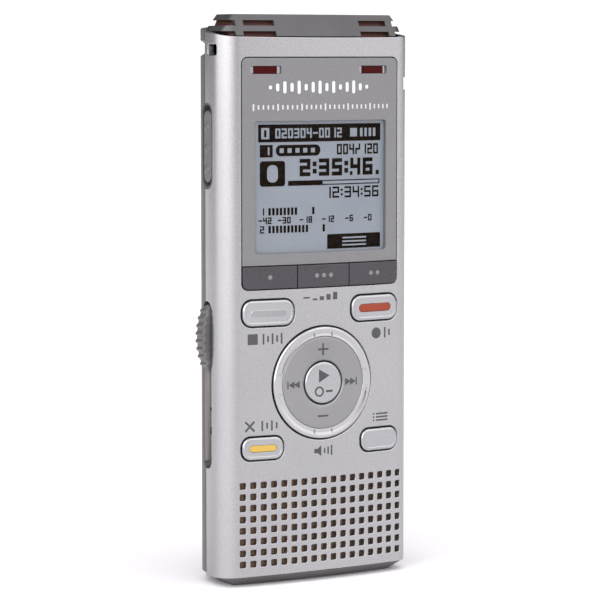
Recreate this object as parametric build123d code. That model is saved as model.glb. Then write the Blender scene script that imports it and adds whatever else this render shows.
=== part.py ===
from build123d import *
import math
import os

# Handheld digital voice recorder, in millimetres.
# The origin is the centre of the flat base. +X is the user's right, the crowned
# front faces -Y and +Z runs up to the microphone end.

# Overall body
WIDTH = 40.0
DEPTH = 16.5
HEIGHT = 106.0
CROWN_RADIUS = 142.9
FRONT_CORNER = 3.5
REAR_CORNER = 7.6
LEAST_CORNER = 0.4
WALL = 1.3
FRONT = -DEPTH / 2
BACK = DEPTH / 2
SIDE = WIDTH / 2
PART_GAP = 0.05

# Front cover: both ends run back at a slight angle from the front edge to the side seam
SEAM_Y = 0.95
COVER_BOTTOM = 2.0
COVER_TOP = 101.75
TOP_RISE = 0.128
BOTTOM_DROP = 0.078
BASE_CHAMFER = 3.2

# Display panel and function keys
PANEL_HALF = 16.6
PANEL_TOP = 98.02
PANEL_BOTTOM = 59.85
PANEL_THICK = 0.65
PANEL_CORNER = 1.1
KEYS_BOTTOM = 55.55
KEY_GAP = 0.15
KEY_SPLIT = 5.55
MENU_HALF = KEY_SPLIT - KEY_GAP / 2
WINDOW_HALF = 14.1
WINDOW_BOTTOM = 62.0
WINDOW_TOP = 86.4
LED_X = (-11.87, 11.1)
LED_Z = 95.8
LED_WIDTH = 6.3
LED_HEIGHT = 1.45

# Push buttons
RISE = 0.35
BUTTON_GAP = 0.22
STOP_CENTRE = (-11.45, 51.1)
REC_CENTRE = (11.45, 51.1)
LARGE_BUTTON = (10.4, 4.75, 1.9)
ERASE_CENTRE = (-12.6, 25.95)
LIST_CENTRE = (12.6, 25.95)
SMALL_BUTTON = (8.3, 4.15, 1.7)
FLANGE = 0.4
STEM_RADIUS = 1.3
STEM_START = -6.8
STEM_END = -5.5
REC_INSERT = (7.3, 1.5)
ERASE_INSERT = (5.5, 1.25)
INSERT_DEPTH = 0.25

# Navigation pad
NAV_Z = 37.55
NAV_RADIUS = 10.5
NAV_DISC_RADIUS = 8.65
OK_RADIUS = 3.95
NAV_BACK = -6.75
COLLAR = (5.2, 8.0, -6.55, -6.05)

# Speaker
HOLE_COLUMNS = 17
HOLE_ROWS = 8
HOLE_PITCH = 2.105
HOLE_SIZE = 1.38
HOLE_CORNER = 0.3
HOLES_X = 0.25
SPEAKER_Z = 11.72
SPEAKER = (26.0, 14.0, 6.0)

# Layers behind the front cover
MEMBRANE_Y = (-5.1, -4.8)
BOARD_Y = (-4.6, -3.9)
PLATE_Y = (-3.8, -2.8)
LCD_Y = (-6.75, -4.75)

# Microphone cap
CAP_BASE = 100.8
CAP_SLOPE = (-0.72, 3.02)
CAP_STEP = 1.0
CAP_FRONT_SLOPE = (-0.36, 1.93)
CAP_WALL = 0.9
CAP_ROOF = 0.9
SCREEN_SLOPE = (1.75, 3.35)
SCREEN_THICK = 0.6
UPPER_SLOT = (103.9, 104.9, 15.25)
LOWER_SLOT = (101.0, 102.87, 15.6)
SLOT_INNER = 9.05
POST_WIDTH = 1.5
SLOT_CORNER_X = 15.2
JACK_X = 4.3
JACK_BORE = 1.8
JACK_NOSE = 2.8
JACK_FLOOR = 92.0
JACK_BOTTOM = 90.5

# Left side: power and hold switch, and the plug's lever
RECESS = (-1.9, 2.0, 74.0, 89.7)
KNOB = (-1.2, 1.6, 75.1, 88.3)
KNOB_X = -19.75
KNOB_BUMPS = (77.45, 81.3, 85.2)
LEVER_SLOT = (-1.35, 1.85, 21.8, 53.0)
LEVER = (-1.2, 1.7, 40.15, 52.4)
LEVER_PEAK = 1.85
LEVER_ROOT = 0.35
LEVER_RIBS = 8
LEVER_RIB_RADIUS = 0.28

# Strap opening at the top of the left side
STRAP_HOLE = (-3.75, -0.35, 98.5, 100.5)
STRAP_CORNER = 0.45
STRAP_NOTCH = (98.8, 100.7)
STRAP_NOTCH_DEPTH = 1.0
STRAP_BEVEL = (0.5, 0.75)

# Slide-out plug
PLUG_CENTRE = (-10.8, 0.6)
PLUG_SIZE = (12.0, 4.5)
PLUG_Z = (1.0, 13.5)
PLUG_WALL = 0.35
CARRIAGE_Z = (13.5, 32.0)
CARRIAGE_CLEAR = 0.1

# Two cylindrical cells and their cover
CELL_RADIUS = 5.2
CELL_LENGTH = 44.5
CELL_X = (12.5, 1.8)
CELL_Y = 1.5
BAY = (-3.7, 18.2, 3.8, 51.9)
COVER_HALVES = (-5.1, 17.3)
COVER_HEIGHT = 54.0
COVER_SKIN = 0.75

# Card cover on the right side
DOOR_Y = (-5.1, -0.3)
DOOR_Z = (79.15, 94.15)
DOOR_THICK = 1.0
DOOR_AXIS = (18.75, 80.4)
DOOR_PIN = 0.45
SCOOP = (19.31, 3.0, 92.0, 94.1)

# Case screws
SCREW_SPOTS = ((-11.0, 58.0), (11.0, 58.0), (-11.0, 97.0), (11.0, 97.0))
SCREW_HEAD = 1.5
SCREW_SHANK = 0.85


def box(x0, x1, y0, y1, z0, z1):
    """Block between two opposite corners."""
    centre = ((x0 + x1) / 2, (y0 + y1) / 2, (z0 + z1) / 2)
    return Pos(*centre) * Box(x1 - x0, y1 - y0, z1 - z0)


def rod_y(x, z, radius, y0, y1):
    """Cylinder along Y."""
    return Pos(x, (y0 + y1) / 2, z) * Rot(90, 0, 0) * Cylinder(radius, y1 - y0)


def rod_z(x, y, radius, z0, z1):
    """Cylinder along Z."""
    return Pos(x, y, (z0 + z1) / 2) * Cylinder(radius, z1 - z0)


def plan(inset=0.0):
    """Body outline seen from above: crowned front, flat back, rounded corners."""
    half = SIDE - inset
    front = FRONT + inset
    back = BACK - inset
    radius = CROWN_RADIUS - inset
    edge = front + radius - math.sqrt(radius ** 2 - half ** 2)
    arc = ThreePointArc((-half, edge), (0, front), (half, edge))
    rest = Polyline((half, edge), (half, back), (-half, back), (-half, edge))
    face = make_face([arc, rest])
    corners = face.vertices().group_by(Axis.Y)
    face = fillet(corners[-1], max(REAR_CORNER - inset, LEAST_CORNER))
    corners = [v for v in face.vertices() if abs(v.Y - edge) < 0.01]
    return fillet(corners, max(FRONT_CORNER - inset, LEAST_CORNER))


def column(inset=0.0, z0=-5.0, z1=HEIGHT + 5.0):
    """Upright prism of the body outline."""
    return extrude(Pos(0, 0, z0) * plan(inset), z1 - z0)


def layer(outer, inner, z0=-5.0, z1=HEIGHT + 5.0):
    """Shell between two insets of the body outline."""
    return column(outer, z0, z1) - column(inner, z0 - 1, z1 + 1)


def tapered(z0, inset0, z1, inset1):
    """Prism whose outline changes evenly from one inset to another."""
    return loft([Pos(0, 0, z0) * plan(inset0), Pos(0, 0, z1) * plan(inset1)], ruled=True)


def front_block(centre, size, radius, y0=-12.0, y1=0.0):
    """Rounded rectangle drawn on the front and run back from y0 to y1."""
    plane = Plane(origin=(centre[0], y0, centre[1]), x_dir=(1, 0, 0), z_dir=(0, 1, 0))
    return extrude(plane * RectangleRounded(size[0], size[1], radius), y1 - y0)


def side_block(span, x0, x1, radius=None):
    """Rounded slot drawn on the left side and run from x0 to x1, with round ends by default."""
    y0, y1, z0, z1 = span
    radius = radius or (y1 - y0) / 2 - 0.01
    plane = Plane(origin=(x0, (y0 + y1) / 2, (z0 + z1) / 2), x_dir=(0, 1, 0), z_dir=(1, 0, 0))
    return extrude(plane * RectangleRounded(y1 - y0, z1 - z0, radius), x1 - x0)


def profile_x(points, x0, x1):
    """Outline in Y and Z run along X."""
    plane = Plane(origin=(x0, 0, 0), x_dir=(0, 1, 0), z_dir=(1, 0, 0))
    return extrude(plane * make_face(Polyline(*points, close=True)), x1 - x0)


def grown(span, by):
    """A side slot's span made larger all round."""
    return (span[0] - by, span[1] + by, span[2] - by, span[3] + by)


def cap_line(y):
    """Height of the seam below the microphone cap."""
    return COVER_TOP + TOP_RISE * (y - FRONT)


def base_line(y):
    """Height of the seam above the base."""
    return COVER_BOTTOM - BOTTOM_DROP * (y - FRONT)


def cover_span(gap=0.0):
    """Side view of the front cover, made larger by a gap."""
    front = FRONT - 5
    rear = SEAM_Y + gap
    points = ((front, base_line(front) - gap), (rear, base_line(rear) - gap),
              (rear, cap_line(rear) + gap), (front, cap_line(front) + gap))
    return profile_x(points, -30, 30)


def below_cap(gap=0.0):
    """Everything under the microphone cap's seam."""
    points = ((FRONT - 5, -5), (BACK + 5, -5), (BACK + 5, cap_line(BACK + 5) - gap),
              (FRONT - 5, cap_line(FRONT - 5) - gap))
    return profile_x(points, -30, 30)


def speaker_holes():
    """Grid of square holes with rounded corners."""
    spots = GridLocations(HOLE_PITCH, HOLE_PITCH, HOLE_COLUMNS, HOLE_ROWS)
    plane = Plane(origin=(HOLES_X, -12, SPEAKER_Z), x_dir=(1, 0, 0), z_dir=(0, 1, 0))
    squares = Sketch() + [spot * RectangleRounded(HOLE_SIZE, HOLE_SIZE, HOLE_CORNER) for spot in spots]
    return extrude(plane * squares, 10)


def key_opening(centre, shape):
    """Cut through the front for a push button."""
    width, height, radius = shape
    gap = BUTTON_GAP
    return front_block(centre, (width + 2 * gap, height + 2 * gap), radius + gap, -12, -4)


def door_opening():
    """Cut through the right side for the card cover and its hinge."""
    gap = 0.1
    y0, y1 = DOOR_Y
    return box(16.5, 25, y0 - gap, y1 + gap, DOOR_Z[0] - gap, DOOR_Z[1] + gap)


def finger_scoop():
    """Flat cut in the front corner beside the free end of the card cover."""
    start, side, z0, z1 = SCOOP
    return Rot(0, 0, -30) * box(start, 25, side, 8, z0, z1)


def front_cover():
    """Silver front shell with every opening in it."""
    shell = (column() & cover_span()) - column(WALL)
    panel_size = (2 * (PANEL_HALF + 0.1), PANEL_TOP - KEYS_BOTTOM + 0.2)
    panel_centre = (0, (PANEL_TOP + KEYS_BOTTOM) / 2)
    pocket = front_block(panel_centre, panel_size, PANEL_CORNER + 0.1) - column(PANEL_THICK + 0.05)
    shell -= pocket
    keys_size = (2 * PANEL_HALF + 0.2, PANEL_BOTTOM - KEYS_BOTTOM)
    shell -= front_block((0, (PANEL_BOTTOM + KEYS_BOTTOM) / 2 - 0.1), keys_size, PANEL_CORNER, -12, -4)
    shell -= box(-PANEL_HALF - 0.1, PANEL_HALF + 0.1, -12, -4, KEYS_BOTTOM + 2, PANEL_BOTTOM - 0.1)
    lcd_size = (2 * WINDOW_HALF + 1.6, WINDOW_TOP - WINDOW_BOTTOM + 1.6)
    shell -= front_block((0, (WINDOW_TOP + WINDOW_BOTTOM) / 2), lcd_size, 0.15, -12, -4)
    for x in LED_X:
        shell -= front_block((x, LED_Z), (LED_WIDTH - 1, LED_HEIGHT - 0.3), 0.2, -12, -4)
    for centre in (STOP_CENTRE, REC_CENTRE):
        shell -= key_opening(centre, LARGE_BUTTON)
    for centre in (ERASE_CENTRE, LIST_CENTRE):
        shell -= key_opening(centre, SMALL_BUTTON)
    shell -= rod_y(0, NAV_Z, NAV_RADIUS + 0.2, -12, -4)
    shell -= speaker_holes()
    shell -= side_block(LEVER_SLOT, -25, -17)
    shell -= side_block(grown(RECESS, PART_GAP), -25, -17)
    shell -= side_block(STRAP_HOLE, -25, -17, STRAP_CORNER)
    shell -= door_opening()
    shell -= finger_scoop()
    lug = box(17.75, 18.9, DOOR_Y[1] + 0.1, SEAM_Y, DOOR_AXIS[1] - 1, DOOR_AXIS[1] + 1)
    shell += lug
    shell -= rod_y(DOOR_AXIS[0], DOOR_AXIS[1], DOOR_PIN + 0.02, -6.0, SEAM_Y - 0.1)
    return shell


def cover_cut(gap):
    """Space that the battery cover needs in the rear case."""
    x0, x1 = COVER_HALVES
    skin = layer(-2, COVER_SKIN - gap, -5, COVER_HEIGHT + 1.5 * gap)
    skin &= box(x0 - 1.5 * gap, x1 + 1.5 * gap, 4, 12, -6, COVER_HEIGHT + 5)
    tongue = layer(COVER_SKIN - gap, WALL + gap, -5, COVER_HEIGHT + 1.5 * gap)
    tongue &= box(x0 - 0.8 - gap, x1 + 0.6 + gap, 3.5, 12, -6, COVER_HEIGHT + 5)
    return skin + tongue


def screw_boss(x, z):
    """Tube in the rear case that a screw runs down."""
    return rod_y(x, z, 2.3, 0.6, BACK - 0.5)


def strap_notch():
    """Bevelled cut round the rear left corner for the strap's cord, and its way in."""
    low, high = STRAP_NOTCH
    rise, depth = STRAP_BEVEL
    notch = column(-2, low - rise, high + rise) - column(STRAP_NOTCH_DEPTH, low, high)
    notch -= tapered(low - rise, 0, low, depth)
    notch -= tapered(high, depth, high + rise, 0)
    notch &= box(-25, -10, 0, 7.2, low - 1, high + 1)
    tunnel = layer(-2, 2.2, low + 0.2, high - 0.2) & box(-25, -10, 0, 2.4, low - 1, high + 1)
    return notch + tunnel


def rear_case():
    """Rear shell with the base, the screw tubes and the plug's guides."""
    envelope = column(0, COVER_BOTTOM) + tapered(0, BASE_CHAMFER, COVER_BOTTOM, 0)
    shell = (envelope & below_cap(PART_GAP)) - cover_span(PART_GAP)
    shell -= column(WALL, WALL, HEIGHT + 5)
    ledge = (layer(WALL - 0.1, 3.2) & box(-30, 30, 3, 12, 90, 110)) & below_cap(PART_GAP)
    shell += ledge - below_cap(1.2)
    for x, z in SCREW_SPOTS:
        shell += screw_boss(x, z)
    for x in (-14.6, -7.6):
        shell += box(x, x + 1, 2.85, BACK - 0.5, 15, 50)
    shell -= cover_cut(0.1)
    for x, z in SCREW_SPOTS:
        shell -= rod_y(x, z, SCREW_SHANK + 0.1, -1, BACK + 1)
        shell -= rod_y(x, z, SCREW_HEAD + 0.2, BACK - 1.2, BACK + 1)
    shell -= side_block(LEVER_SLOT, -25, -17)
    shell -= side_block(grown(RECESS, PART_GAP), -25, -17)
    x, y = PLUG_CENTRE
    wide, deep = PLUG_SIZE
    shell -= box(x - wide / 2 - 0.2, x + wide / 2 + 0.2, y - deep / 2 - 0.2, y + deep / 2 + 0.2, -1, 2)
    return shell - strap_notch()


def cap_body(inset=0.0):
    """Tapered top of the body with its steeper front set back, all set in from the surface."""
    low, high = CAP_SLOPE
    body = tapered(CAP_BASE, inset + low, HEIGHT, inset + high)
    low, high = CAP_FRONT_SLOPE
    front = tapered(CAP_BASE, inset + low, HEIGHT, inset + high)
    return body & Pos(0, CAP_STEP, 0) * front


def slot_ring(z0, z1, outer):
    """Openings of one row of slots: two at the front and one round each side and rear corner."""
    half = box(SLOT_INNER, outer, -12, 0, z0, z1)
    half += box(outer + POST_WIDTH, 25, -12, 1, z0, z1)
    half += box(SLOT_CORNER_X, 25, 0, 12, z0, z1)
    return half + mirror(half, Plane.YZ)


def mic_grille_cap():
    """Dark cap over the microphones with two rows of slots."""
    cap = cap_body() - below_cap(-PART_GAP)
    hollow = cap_body(CAP_WALL) & column(0, 90, HEIGHT - CAP_ROOF)
    cap -= hollow
    cap -= slot_ring(*UPPER_SLOT)
    cap -= slot_ring(*LOWER_SLOT)
    for side in (-1, 1):
        cap -= rod_z(side * JACK_X, 0, JACK_NOSE + 0.1, HEIGHT - 3, HEIGHT + 1)
    return cap


def mic_screen(side):
    """Fine mesh behind the slots of one side."""
    low, high = SCREEN_SLOPE
    skin = tapered(CAP_BASE, low, HEIGHT, high)
    skin -= tapered(CAP_BASE, low + SCREEN_THICK, HEIGHT, high + SCREEN_THICK)
    skin &= cap_body(CAP_WALL + PART_GAP)
    skin &= box(8.3, 25, -12, 12, COVER_TOP - 0.5, HEIGHT - CAP_ROOF - PART_GAP)
    skin -= below_cap(-PART_GAP) & box(-30, 30, 2.9, 12, 90, 110)
    return skin if side > 0 else mirror(skin, Plane.YZ)


def mic_place(side):
    """Place of a microphone, facing forwards and out at 45 degrees."""
    return Pos(side * 12.4, -2.2, 102.3) * Rot(0, 0, side * 45) * Rot(90, 0, 0)


def mic_capsule(side):
    """Round electret microphone."""
    return mic_place(side) * Cylinder(2.0, 1.4)


def mic_boot(side):
    """Rubber cup round a microphone."""
    return mic_place(side) * (Cylinder(2.5, 1.9) - Pos(0, 0, 0.25) * Cylinder(2.02, 1.9))


def jack(side):
    """Socket for a 3.5 mm plug, opening at the top face."""
    x = side * JACK_X
    body = box(x - 3.1, x + 3.1, -2.2, 3.3, JACK_BOTTOM, 103.6)
    body += rod_z(x, 0, JACK_NOSE, 103.5, HEIGHT)
    return body - rod_z(x, 0, JACK_BORE, JACK_FLOOR, HEIGHT + 1)


def display_panel():
    """Grey window plate let into the front."""
    centre = (0, (PANEL_TOP + PANEL_BOTTOM) / 2)
    size = (2 * PANEL_HALF, PANEL_TOP - PANEL_BOTTOM)
    plate = layer(0, PANEL_THICK) & front_block(centre, size, PANEL_CORNER)
    plate += layer(0, PANEL_THICK) & box(-PANEL_HALF, PANEL_HALF, -12, 0, PANEL_BOTTOM, PANEL_BOTTOM + 3)
    window = (0, (WINDOW_TOP + WINDOW_BOTTOM) / 2)
    plate -= front_block(window, (2 * WINDOW_HALF, WINDOW_TOP - WINDOW_BOTTOM), 0.6)
    for x in LED_X:
        plate -= front_block((x, LED_Z), (LED_WIDTH, LED_HEIGHT), 0.25)
    return plate


def display_window():
    """Clear pane over the liquid crystal display."""
    centre = (0, (WINDOW_TOP + WINDOW_BOTTOM) / 2)
    size = (2 * WINDOW_HALF - 0.06, WINDOW_TOP - WINDOW_BOTTOM - 0.06)
    return layer(0.08, PANEL_THICK) & front_block(centre, size, 0.57)


def led_lens(index):
    """Dark red window over an indicator lamp."""
    size = (LED_WIDTH - 0.06, LED_HEIGHT - 0.06)
    return layer(0.15, PANEL_THICK) & front_block((LED_X[index], LED_Z), size, 0.22)


def indicator_led(index):
    """Lamp chip on the board behind a lens."""
    x = LED_X[index]
    return box(x - 0.8, x + 0.8, -5.0, BOARD_Y[0], LED_Z - 0.4, LED_Z + 0.4)


def lcd_panel():
    """Liquid crystal display."""
    return box(-14.8, 14.8, *LCD_Y, WINDOW_BOTTOM - 0.7, WINDOW_TOP + 0.7)


def lcd_frame():
    """Plastic frame that holds the display to the board."""
    outer = box(-16.2, 16.2, -5.9, LCD_Y[1], WINDOW_BOTTOM - 2, WINDOW_TOP + 2)
    return outer - box(-14.85, 14.85, -7, 0, WINDOW_BOTTOM - 0.75, WINDOW_TOP + 0.75)


def function_key(x0, x1):
    """One key of the dark strip below the display."""
    top = PANEL_BOTTOM - KEY_GAP
    key = layer(-RISE, WALL) & box(x0, x1, -12, 0, KEYS_BOTTOM, top)
    strip = front_block((0, (KEYS_BOTTOM + PANEL_TOP) / 2), (2 * PANEL_HALF, PANEL_TOP - KEYS_BOTTOM), PANEL_CORNER)
    key &= strip
    lips = layer(WALL, WALL + 0.3) & box(x0, x1, -12, 0, KEYS_BOTTOM, top)
    stem = box((x0 + x1) / 2 - 1, (x0 + x1) / 2 + 1, -7.0, STEM_END, KEYS_BOTTOM + 1, top - 1)
    return key + lips + stem


def push_button(centre, shape, insert=None):
    """Button with a flange behind the cover and a stem towards its switch."""
    width, height, radius = shape
    body = layer(-RISE, WALL + 0.1) & front_block(centre, (width, height), radius)
    flange = layer(WALL + 0.05, WALL + 0.35)
    flange &= front_block(centre, (width + 2 * FLANGE, height + 2 * FLANGE), radius + FLANGE)
    button = body + flange + rod_y(*centre, STEM_RADIUS, STEM_START, STEM_END)
    if insert:
        button -= front_block(centre, insert, insert[1] / 2 - 0.01) & layer(-2, INSERT_DEPTH)
    return button


def button_insert(centre, size):
    """Coloured bar let into a button."""
    bar = front_block(centre, (size[0] - 0.04, size[1] - 0.04), size[1] / 2 - 0.03)
    return layer(-RISE - 0.1, INSERT_DEPTH - 0.01) & bar


def nav_ring():
    """Clear outer ring of the navigation pad."""
    return column(-RISE) & nav_tube(NAV_RADIUS, NAV_DISC_RADIUS + 0.02)


def nav_tube(outer, inner):
    """Tube round the navigation pad's axis."""
    return rod_y(0, NAV_Z, outer, -12, NAV_BACK) - rod_y(0, NAV_Z, inner, -13, 0)


def nav_disc():
    """Satin disc of the navigation pad, with the centre button's opening."""
    return column(-RISE + 0.1) & nav_tube(NAV_DISC_RADIUS, OK_RADIUS + BUTTON_GAP)


def nav_collar():
    """Rubber collar that lets the pad rock on its centre."""
    inner, outer, y0, y1 = COLLAR
    return rod_y(0, NAV_Z, outer, y0, y1) - rod_y(0, NAV_Z, inner, y0 - 1, y1 + 1)


def ok_button():
    """Round centre button."""
    return column(-RISE - 0.1) & rod_y(0, NAV_Z, OK_RADIUS, -12, STEM_END)


def keypad_membrane():
    """Rubber sheet behind the buttons."""
    return box(-16.4, 16.4, *MEMBRANE_Y, 21.5, 59.4)


def switch_spots():
    """Places of the dome switches on the board."""
    ring = [(0, NAV_Z + 7), (0, NAV_Z - 7), (-7, NAV_Z), (7, NAV_Z), (0, NAV_Z)]
    keys = [(-11.2, 57.5), (0, 57.5), (11.2, 57.5)]
    return [STOP_CENTRE, REC_CENTRE, ERASE_CENTRE, LIST_CENTRE] + ring + keys


def dome_switches():
    """Metal snap domes, one under each button and four under the pad."""
    domes = [rod_y(x, z, 1.5, MEMBRANE_Y[1] + 0.02, BOARD_Y[0]) for x, z in switch_spots()]
    return Compound(children=domes)


def main_board():
    """Circuit board."""
    return box(-17.2, 17.2, *BOARD_Y, 20.8, 99.5)


def processor_chip():
    """Signal processor on the back of the board."""
    return box(-6.5, 1.5, BOARD_Y[1], -2.9, 68, 76)


def memory_chip():
    """Memory on the back of the board."""
    return box(-14, -7.5, BOARD_Y[1], -2.9, 64, 76)


def speaker_frame():
    """Oval speaker basket."""
    wide, high, radius = SPEAKER
    ring = front_block((0, SPEAKER_Z), (wide, high), radius, -6.0, PLATE_Y[0] - 0.1)
    return ring - front_block((0, SPEAKER_Z), (wide - 2.4, high - 2.4), radius - 1.2, -7, -4.4)


def speaker_cone():
    """Oval speaker diaphragm."""
    wide, high, radius = SPEAKER
    return front_block((0, SPEAKER_Z), (wide - 2.5, high - 2.5), radius - 1.25, -5.4, -5.0)


def speaker_cloth():
    """Dark mesh behind the speaker holes."""
    wide = HOLE_COLUMNS * HOLE_PITCH - 0.4
    high = HOLE_ROWS * HOLE_PITCH
    return layer(WALL + 0.02, WALL + 0.2) & front_block((HOLES_X, SPEAKER_Z), (wide, high), 1.0)


def chassis():
    """Inner frame: a plate with the battery bay, the plug's channel and screw bosses."""
    inside = column(WALL + 0.1)
    plate = box(-18.6, 18.6, *PLATE_Y, 2.6, 99.8)
    x0, x1, z0, z1 = BAY
    plate -= box(x0 + 0.3, 20, -5, 0, z0, z1)
    plate -= box(3.8, 20, -5, 0, 79, 95)
    plate += box(x0 - 0.7, x0, PLATE_Y[0], 6.6, z0 - 1.2, z1 + 1)
    plate += box(x0, x1, PLATE_Y[0], 6.6, z0 - 1.2, z0)
    plate += box(x0, x1, PLATE_Y[0], 6.6, z1, z1 + 1)
    for x in (-15.6, -7.6):
        plate += box(x, x + 1, PLATE_Y[1], -1.65, 14, 57)
    for x, z in SCREW_SPOTS:
        plate += rod_y(x, z, 2.2, PLATE_Y[1], 0.5)
        plate -= rod_y(x, z, SCREW_SHANK + 0.02, -2.4, 1)
    plate -= box(-14.2, -7.3, -5, -2.85, 63.8, 76.2)
    plate -= box(-6.7, 1.7, -5, -2.85, 67.8, 76.2)
    return plate & inside


def battery_cell(index):
    """Cylindrical cell with a raised positive end."""
    x = CELL_X[index]
    body_length = CELL_LENGTH - 1
    if index == 0:
        low = BAY[2] + 3.15
        return rod_z(x, CELL_Y, CELL_RADIUS, low, low + body_length) + rod_z(
            x, CELL_Y, 1.8, low + body_length - 0.1, low + CELL_LENGTH)
    low = BAY[2] + 0.4
    return rod_z(x, CELL_Y, CELL_RADIUS, low + 1, low + CELL_LENGTH) + rod_z(
        x, CELL_Y, 1.8, low, low + 1.1)


def battery_springs():
    """Coil contacts on the negative ends of the cells."""
    coils = []
    for x, z in ((CELL_X[0], BAY[2] + 0.75), (CELL_X[1], BAY[2] + 45.35)):
        path = Helix(pitch=0.85, height=1.9, radius=2.4)
        wire = Plane(origin=path @ 0, z_dir=path % 0) * Circle(0.25)
        coils.append(Pos(x, CELL_Y, z) * sweep(wire, path=path, is_frenet=True))
    return Compound(children=coils)


def battery_plates():
    """Flat contact plates at both ends of the bay."""
    plates = []
    for x in CELL_X:
        for z in (BAY[2], BAY[3] - 0.35):
            plates.append(box(x - 4, x + 4, CELL_Y - 3.5, CELL_Y + 3.5, z, z + 0.35))
    return Compound(children=plates)


def battery_cover():
    """Cover that slides down off the back, with tongues under the case's edge."""
    x0, x1 = COVER_HALVES
    skin = layer(0, COVER_SKIN, 0, COVER_HEIGHT) & box(x0, x1, 4, 12, -1, COVER_HEIGHT)
    tongue = layer(COVER_SKIN, WALL, 0, COVER_HEIGHT)
    tongue &= box(x0 - 0.8, x1 + 0.6, 3.6, 12, -1, COVER_HEIGHT)
    cover = skin + tongue
    cover &= column(0, COVER_BOTTOM) + tapered(0, BASE_CHAMFER, COVER_BOTTOM, 0)
    for step in range(5):
        z = COVER_HEIGHT - 5 - 1.4 * step
        cover -= box(2.0, 10.0, BACK - 0.3, BACK + 1, z, z + 0.6)
    return cover


def usb_lever():
    """Ribbed thumb lever with an arched outline."""
    y0, y1, z0, z1 = LEVER
    middle = (z0 + z1) / 2
    half = (z1 - z0) / 2
    root = SIDE - LEVER_ROOT
    rise = LEVER_PEAK + LEVER_ROOT - LEVER_RIB_RADIUS
    radius = (half ** 2 + rise ** 2) / (2 * rise)
    centre_x = -root - rise + radius
    hump = Pos(centre_x, (y0 + y1) / 2, middle) * Rot(90, 0, 0) * Cylinder(radius, 6)
    lever = side_block(LEVER, -24, -16.7) & (hump + box(-root, -10, -5, 5, z0 - 1, z1 + 1))
    reach = math.asin((half - 1.05) / radius)
    for step in range(LEVER_RIBS):
        angle = reach * (2 * step / (LEVER_RIBS - 1) - 1)
        x = centre_x - radius * math.cos(angle)
        z = middle + radius * math.sin(angle)
        lever += rod_y(x, z, LEVER_RIB_RADIUS, y0 + 0.35, y1 - 0.35)
    return lever


def usb_carriage():
    """Sliding block that carries the plug and joins it to the lever."""
    x, y = PLUG_CENTRE
    half_x = PLUG_SIZE[0] / 2 - CARRIAGE_CLEAR
    half_y = PLUG_SIZE[1] / 2 - CARRIAGE_CLEAR
    block = box(x - half_x, x + half_x, y - half_y, y + half_y, *CARRIAGE_Z)
    arm = box(x - half_x, x - half_x + 2.2, -1.2, 1.6, CARRIAGE_Z[1], LEVER[3] - 0.2)
    return block + arm


def usb_plug_shell():
    """Folded metal shell of the plug."""
    x, y = PLUG_CENTRE
    half_x, half_y = PLUG_SIZE[0] / 2, PLUG_SIZE[1] / 2
    shell = box(x - half_x, x + half_x, y - half_y, y + half_y, *PLUG_Z)
    shell = fillet(shell.edges().filter_by(Axis.Z), 0.4)
    wall = PLUG_WALL
    shell -= box(x - half_x + wall, x + half_x - wall, y - half_y + wall, y + half_y - wall, 0, 13.2)
    for step in (-1, 1):
        shell -= box(x + step * 2.9 - 1.2, x + step * 2.9 + 1.2, -6, 6, 6.2, 8.2)
    return shell


def usb_tongue():
    """Contact tongue inside the plug."""
    x, y = PLUG_CENTRE
    return box(x - 5.3, x + 5.3, y + 0.1, y + 1.7, PLUG_Z[0] + 0.8, 13.2)


def usb_contacts():
    """Four contact strips on the tongue."""
    x, y = PLUG_CENTRE
    strips = [box(x + dx - 0.5, x + dx + 0.5, y, y + 0.1, 2.2, 10.5) for dx in (-3.5, -1, 1, 3.5)]
    return Compound(children=strips)


def switch_bezel():
    """Tray let into the left side, in which the switch knob slides."""
    y0, y1, z0, z1 = RECESS
    tray = side_block(RECESS, -19.95, -17.9) & column(0.05)
    tray -= side_block((y0 + 0.25, y1 - 0.15, z0 + 0.25, z1 - 0.25), -25, -18.6)
    return tray - box(-25, -17, -0.9, 1.2, 78.3, 85.3)


def power_hold_knob():
    """Sliding knob with three raised dots and a peg to its switch."""
    knob = side_block(KNOB, KNOB_X, -18.7)
    for z in KNOB_BUMPS:
        dot = Pos(KNOB_X + 0.08, (KNOB[0] + KNOB[1]) / 2, z) * Rot(0, 90, 0) * Cylinder(0.75, 0.36)
        knob += dot
    return knob + box(-18.8, -17.0, -0.6, 0.9, 80.2, 83.4)


def slide_switch():
    """Switch body behind the knob."""
    return box(-16.8, -13.6, -1.8, 1.8, 77.5, 86)


def card_socket():
    """Socket for a small memory card, open to the right."""
    body = box(4.2, 17.2, BOARD_Y[1], -2.3, 81.9, 93.7)
    return body - box(5.0, 20, -3.6, -2.6, 82.3, 93.3)


def card_cover():
    """Hinged cover over the card socket."""
    axis_x, axis_z = DOOR_AXIS
    y0, y1 = DOOR_Y
    skin = layer(0, DOOR_THICK) & box(15, 25, y0, y1, axis_z, DOOR_Z[1])
    hub = rod_y(axis_x, axis_z, 1.15, y0, y1) & column(0.05)
    hook = box(axis_x - 0.4, SIDE - DOOR_THICK + 0.3, y0 + 0.8, y1 - 0.8, axis_z, axis_z + 1.1)
    door = skin + hub + hook
    door -= rod_y(axis_x, axis_z, DOOR_PIN + 0.05, y0 - 1, y1 + 1)
    return door - box(SIDE - 0.8, 25, y0 - 1, y1 + 1, DOOR_Z[1] - 2.2, DOOR_Z[1] + 1)


def card_cover_pin():
    """Hinge pin of the card cover."""
    return rod_y(*DOOR_AXIS, DOOR_PIN, -5.9, SEAM_Y - 0.15)


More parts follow.
